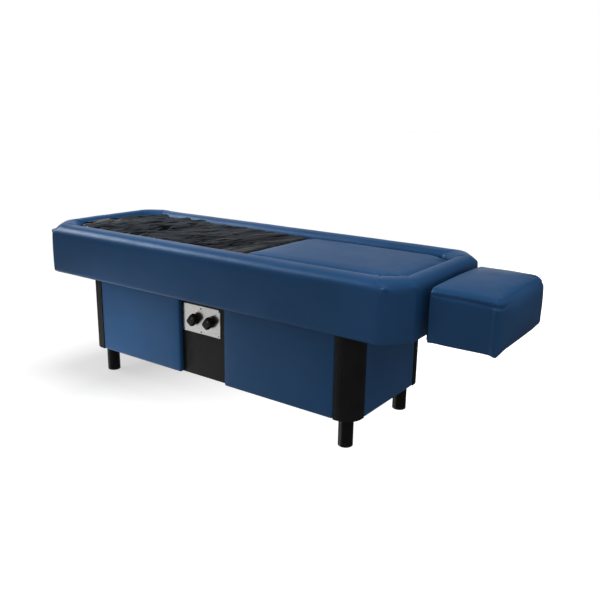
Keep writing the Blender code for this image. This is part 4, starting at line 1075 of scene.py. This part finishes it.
POINTER_ANGLE = radians(52.0)
KNOB_STEPS = 64
GRIP = (0.0262, 0.0200)       # half length and half width of the bar grip
SKIRT_RADIUS = 0.0210
SKIRT = ((0.0, -0.0006, 0.0), (0.0006, 0.0, 0.0003), (0.0038, 0.0, 0.0003), (0.0050, -0.0012, 0.0))
POINTER_REACH = (0.010, 0.0145, 0.019)
DIAL_RADIUS = 0.0262
DIAL_MARKS = 11


def dial_point(centre, angle, radius, height):
    """A point of a dial: angle from +X towards +Z, height forward of the plate's face."""
    return (centre[0] + radius * cos(angle), centre[1] - height, centre[2] + radius * sin(angle))


def grip_row(centre, height, scale, power):
    """Loop of the bar grip, squared by the power, turned to the pointer's angle."""
    row = []
    for step in range(KNOB_STEPS):
        angle = 2 * pi * step / KNOB_STEPS
        shares = (abs(cos(angle - POINTER_ANGLE)) / GRIP[0], abs(sin(angle - POINTER_ANGLE)) / GRIP[1])
        reach = (shares[0] ** power + shares[1] ** power) ** (-1 / power)
        row.append(dial_point(centre, angle, reach * scale, height))
    return row


def round_row(centre, height, radius, flutes=0.0, count=64):
    """Loop round an axis that faces the front, scalloped by flutes."""
    return [dial_point(centre, 2 * pi * step / count,
                       radius - flutes * (0.5 + 0.5 * cos(2 * pi * step / 4)), height)
            for step in range(count)]


def axis_point(node, y):
    """The middle of a node as seen from the front, at a depth y."""
    low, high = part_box(node)
    return ((low.x + high.x) / 2, y, (low.z + high.z) / 2)


def make_knob(node, body, paints):
    """Bar knob: knurled skirt, soft-edged grip and an inlaid pointer line."""
    low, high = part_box(node)
    centre = axis_point(node, high.y)
    tall = high.y - low.y
    rows = [round_row(centre, height, SKIRT_RADIUS + change, flutes) for height, change, flutes in SKIRT]
    grip = ((0.0062, 0.66, 5), (0.0072, 0.96, 5), (0.0085, 1.0, 5), (tall * 0.55, 0.97, 5),
            (tall - 0.0030, 0.94, 5), (tall - 0.0012, 0.91, 4.5), (tall - 0.0003, 0.86, 4), (tall, 0.78, 4))
    rows += [grip_row(centre, *step) for step in grip]
    knob = skin(node + "_detailed", rows, paints["black_knob_plastic"], smooth_angle=40.0)
    declare(knob, body, node)
    points = [dial_point(centre, POINTER_ANGLE, reach, tall) for reach in POINTER_REACH]
    line = stroke(node + "_pointer", points, 0.0007, paints["marking"])
    declare(line, body)


def stroke(name, points, radius, paint):
    """A thin raised line of paint or wire through points, flat ended."""
    curve = bpy.data.curves.new(name, 'CURVE')
    curve.dimensions = '3D'
    curve.bevel_depth = radius
    curve.bevel_resolution = 2
    curve.use_fill_caps = True
    curve.materials.append(paint)
    spline = curve.splines.new('POLY')
    spline.points.add(len(points) - 1)
    for target, point in zip(spline.points, points):
        target.co = (*point, 1.0)
    return put(name, curve)


def make_dial(name, node, paints):
    """Ring of short engraved ticks round a knob, every fifth one longer and wider."""
    centre = axis_point(node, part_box("control_plate")[0].y)
    body = bmesh.new()
    for step in range(DIAL_MARKS):
        angle = radians(240.0 - 30.0 * step)
        wide, outer = (0.0006, DIAL_RADIUS + 0.0032) if step % 5 else (0.0010, DIAL_RADIUS + 0.0045)
        along = Vector((cos(angle), 0.0, sin(angle)))
        across = Vector((-sin(angle), 0.0, cos(angle)))
        middle = Vector(centre) + along * (DIAL_RADIUS + outer) / 2 + Vector((0.0, -0.00008, 0.0))
        turn = Matrix((along, Vector((0.0, 1.0, 0.0)), across)).transposed().to_4x4()
        size = Matrix.Diagonal((outer - DIAL_RADIUS, 0.00022, wide, 1.0))
        bmesh.ops.create_cube(body, size=1.0, matrix=Matrix.Translation(middle) @ turn @ size)
    ticks = link_mesh(name, mesh_from(body, name), paints["dial_ink"], 30.0)
    declare(ticks, "table")


def make_fastener(name, place, paints):
    """Small domed screw head, facing the front."""
    profile = ((0.0026, 0.0), (0.0026, 0.0003), (0.0023, 0.0008), (0.0016, 0.0012), (0.0007, 0.0013))
    rows = [round_row(place, height, radius, count=24) for radius, height in profile]
    head = skin(name, rows, paints["black_knob_plastic"], smooth_angle=40.0)
    declare(head, "table")


def make_controls(paints):
    """Both knobs with their dials, and the plate's two lower fasteners."""
    for node, body in (("timer_knob", "timer"), ("pressure_knob", "pressure")):
        make_knob(node, body, paints)
        make_dial(node.replace("knob", "dial"), node, paints)
    low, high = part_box("control_plate")
    for word, x in (("right", high.x - 0.010), ("left", low.x + 0.010)):
        make_fastener("plate_fastener_" + word, (x, low.y - 0.0001, low.z + 0.008), paints)


# --- Supply hose ---

HOSE_X = TABLE_X - 0.365
HOSE_DIAMETER = 0.012
HOSE_LOOP = (0.1225, 0.3525, 0.0525)  # y and z of the loop's middle, and its radius


def hose_route():
    """Points of the hose: out of the sump's wall, down, round a hanging loop and up to the carriage."""
    y, z, radius = HOSE_LOOP
    route = [(0.189, 0.440), (0.179, 0.435), (0.175, 0.410)]
    route += [(y + radius * cos(pi * step / 6), z - radius * sin(pi * step / 6)) for step in range(7)]
    route += [(0.070, 0.45125), (0.070, 0.550)]
    return [Vector((HOSE_X, *pair)) for pair in route]


def catmull_rom(points, share):
    """A point on the smooth curve through a list of points, share running from 0 to 1."""
    place = share * (len(points) - 1)
    index = min(int(place), len(points) - 2)
    part = place - index
    before = points[max(index - 1, 0)]
    first, second = points[index], points[index + 1]
    after = points[min(index + 2, len(points) - 1)]
    return 0.5 * (2 * first + (second - before) * part
                  + (2 * before - 5 * first + 4 * second - after) * part ** 2
                  + (3 * first - before - 3 * second + after) * part ** 3)


def make_hose(paints):
    """Rubber hose that hangs in a loop between the sump's wall and the jet carriage."""
    route = hose_route()
    count = 32
    points = [catmull_rom(route, step / count) for step in range(count + 1)]
    hose = stroke("supply_hose_curve", points, HOSE_DIAMETER / 2, paints["hose_rubber"])
    hose.data.bevel_resolution = 6
    declare(hose, NODES["supply_hose"]["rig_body"], "supply_hose")


# --- Whole object and studio ---

def paint_frame(paints):
    """Give every CAD node the finish of its slot."""
    for part in frame["record"]["subparts"]:
        mesh = NODES[part["node"]].data
        mesh.materials.clear()
        mesh.materials.append(paints[part["material_slot"]])


CAMERA_PLACE = (1.8307, -2.367, 1.267)
CAMERA_YAW = radians(35.334)
CAMERA_PITCH = radians(15.270)
CAMERA_ROLL = radians(0.995)
CAMERA_LENS = 41.765


def make_camera():
    """Camera above the front foot corner, turned towards the head end."""
    data = bpy.data.cameras.new("camera")
    data.lens = CAMERA_LENS
    data.sensor_width = 36.0
    data.clip_end = 100.0
    camera = put("camera", data)
    turn = (Matrix.Rotation(CAMERA_YAW, 4, 'Z') @ Matrix.Rotation(pi / 2 - CAMERA_PITCH, 4, 'X')
            @ Matrix.Rotation(CAMERA_ROLL, 4, 'Z'))
    camera.matrix_world = Matrix.Translation(CAMERA_PLACE) @ turn
    bpy.context.scene.camera = camera


def area_light(name, place, target, size, power, spread=180.0, mirrored=True):
    """A soft rectangular light aimed at a point, out of the camera's sight."""
    data = bpy.data.lights.new(name, 'AREA')
    data.shape = 'RECTANGLE'
    data.size, data.size_y = size
    data.energy = power
    light = put(name, data)
    light.location = place
    light.rotation_euler = (Vector(target) - Vector(place)).to_track_quat('-Z', 'Y').to_euler()
    light.visible_camera = False
    light.visible_glossy = mirrored
    data.spread = radians(spread)


AROUND_LIGHT = 0.44
OVERHEAD_LIGHT = 1.90
OVERHEAD_WAY = (-0.06, -0.20, -1.0)
# Painted light: the floor's own glow, weaker at the head end so that the shadow shows there, and past the
# middle strong enough to wash shadows out.
FLOOR_GLOW = (0.55, 1.02)     # at the head end and past the middle
FLOOR_FADE = (-0.72, 0.02)    # along X, from one glow to the other
FLOOR_REACH = 40.0
MIRRORED_LIGHT = 0.05
CARDS = (                     # what reflections see: direction, half angle, soft edge, strength
    ((-0.76, -0.18, 0.62), 9.0, 8.0, 6.5),
    ((-0.73, -0.60, -0.36), 3.0, 11.0, 1.15),
    ((-0.78, -0.22, -0.58), 6.0, 9.0, 2.6),
    ((-0.56, 0.79, 0.22), 24.0, 20.0, 0.20),
    ((-0.76, 0.62, 0.20), 5.0, 12.0, 0.50),
    ((-0.45, 0.85, -0.28), 16.0, 8.0, 0.90),
)


def choose(tree, factor, if_not, if_so):
    """The first value where the factor is 0, the second where it is 1."""
    node = tree.nodes.new("ShaderNodeMix")
    for name, value in (("Factor", factor), ("A", if_not), ("B", if_so)):
        feed(tree, node.inputs[name], value)
    return node.outputs["Result"]


def make_surroundings():
    """A white surround: full white to the camera, even as light, dim with soft cards in reflections."""
    scene = bpy.context.scene
    scene.view_settings.view_transform = 'Standard'
    scene.world = bpy.data.worlds.new("studio")
    scene.world.use_nodes = True
    tree = scene.world.node_tree
    way = tree.nodes.new("ShaderNodeTexCoord").outputs["Generated"]
    mirrored = MIRRORED_LIGHT
    for direction, half, soft, strength in CARDS:
        facing = add_node(tree, "ShaderNodeVectorMath", operation='DOT_PRODUCT')
        tree.links.new(way, facing.inputs[0])
        facing.inputs[1].default_value = Vector(direction).normalized()
        ends = (cos(radians(half + soft)), cos(radians(half)), 0.0, strength)
        card = add_node(tree, "ShaderNodeMapRange", interpolation_type='SMOOTHSTEP',
                        **dict(zip(RANGE_ENDS, ends)))
        tree.links.new(facing.outputs["Value"], card.inputs["Value"])
        both = add_node(tree, "ShaderNodeMath", operation='ADD')
        feed(tree, both.inputs[0], card.outputs["Result"])
        feed(tree, both.inputs[1], mirrored)
        mirrored = both.outputs["Value"]
    rays = tree.nodes.new("ShaderNodeLightPath")
    strength = choose(tree, rays.outputs["Is Glossy Ray"], AROUND_LIGHT, mirrored)
    strength = choose(tree, rays.outputs["Is Camera Ray"], strength, 1.0)
    tree.links.new(strength, tree.nodes["Background"].inputs["Strength"])
    tree.nodes["Background"].inputs["Color"].default_value = (1.0, 1.0, 1.0, 1.0)


def make_floor():
    """A pale floor that glows a little, as painted light, less at the head end than past the middle, so
    that shadows on it stay light.
    """
    mesh = bpy.data.meshes.new("floor")
    places = [(x * FLOOR_REACH, y * FLOOR_REACH, 0.0) for x, y in ((-1, -1), (1, -1), (1, 1), (-1, 1))]
    mesh.from_pydata(places, [], [(0, 1, 2, 3)])
    paint = Paint("glowing_floor", (0.44, 0.44, 0.44), 0.9, specular=0.0)
    paint.set("Emission Color", (1.0, 1.0, 1.0, 1.0))
    # Painted light: the glow rises along X from the head end, so the table's shadow fades out towards the
    # foot end.
    glow = paint.remap(paint.axis("X"), *FLOOR_FADE, *FLOOR_GLOW)
    paint.link(glow, paint.shader.inputs["Emission Strength"])
    mesh.materials.append(paint.material)
    floor = put("floor", mesh)
    floor.visible_diffuse = False
    floor.visible_glossy = False


def make_studio():
    """Soft overhead light, a large softbox beyond the head end, one above it and a low one in front."""
    make_surroundings()
    make_floor()
    data = bpy.data.lights.new("overhead", 'SUN')
    data.energy = OVERHEAD_LIGHT
    data.angle = radians(34.0)
    overhead = put("overhead", data)
    overhead.rotation_euler = Vector(OVERHEAD_WAY).to_track_quat('-Z', 'Y').to_euler()
    overhead.visible_glossy = False
    area_light("key", (-3.0, -0.9, 2.1), (-0.6, -0.2, 0.6), (1.4, 1.4), 14.0)
    area_light("top", (-0.9, 0.1, 2.1), (-0.5, 0.0, 0.7), (0.9, 0.9), 4.5, mirrored=False)
    area_light("low", (-1.30, -1.15, 0.12), (-0.56, -0.29, 0.19), (0.3, 0.10), 0.75, 50.0, False)


paints = make_paints()
make_camera()
make_studio()
paint_frame(paints)
make_hose(paints)
make_rim(paints)
make_leg_pad(paints)
make_extension(paints)
make_membrane(paints)
make_panels(paints)
make_inlet_pins(paints)
make_grommets(paints)
make_controls(paints)
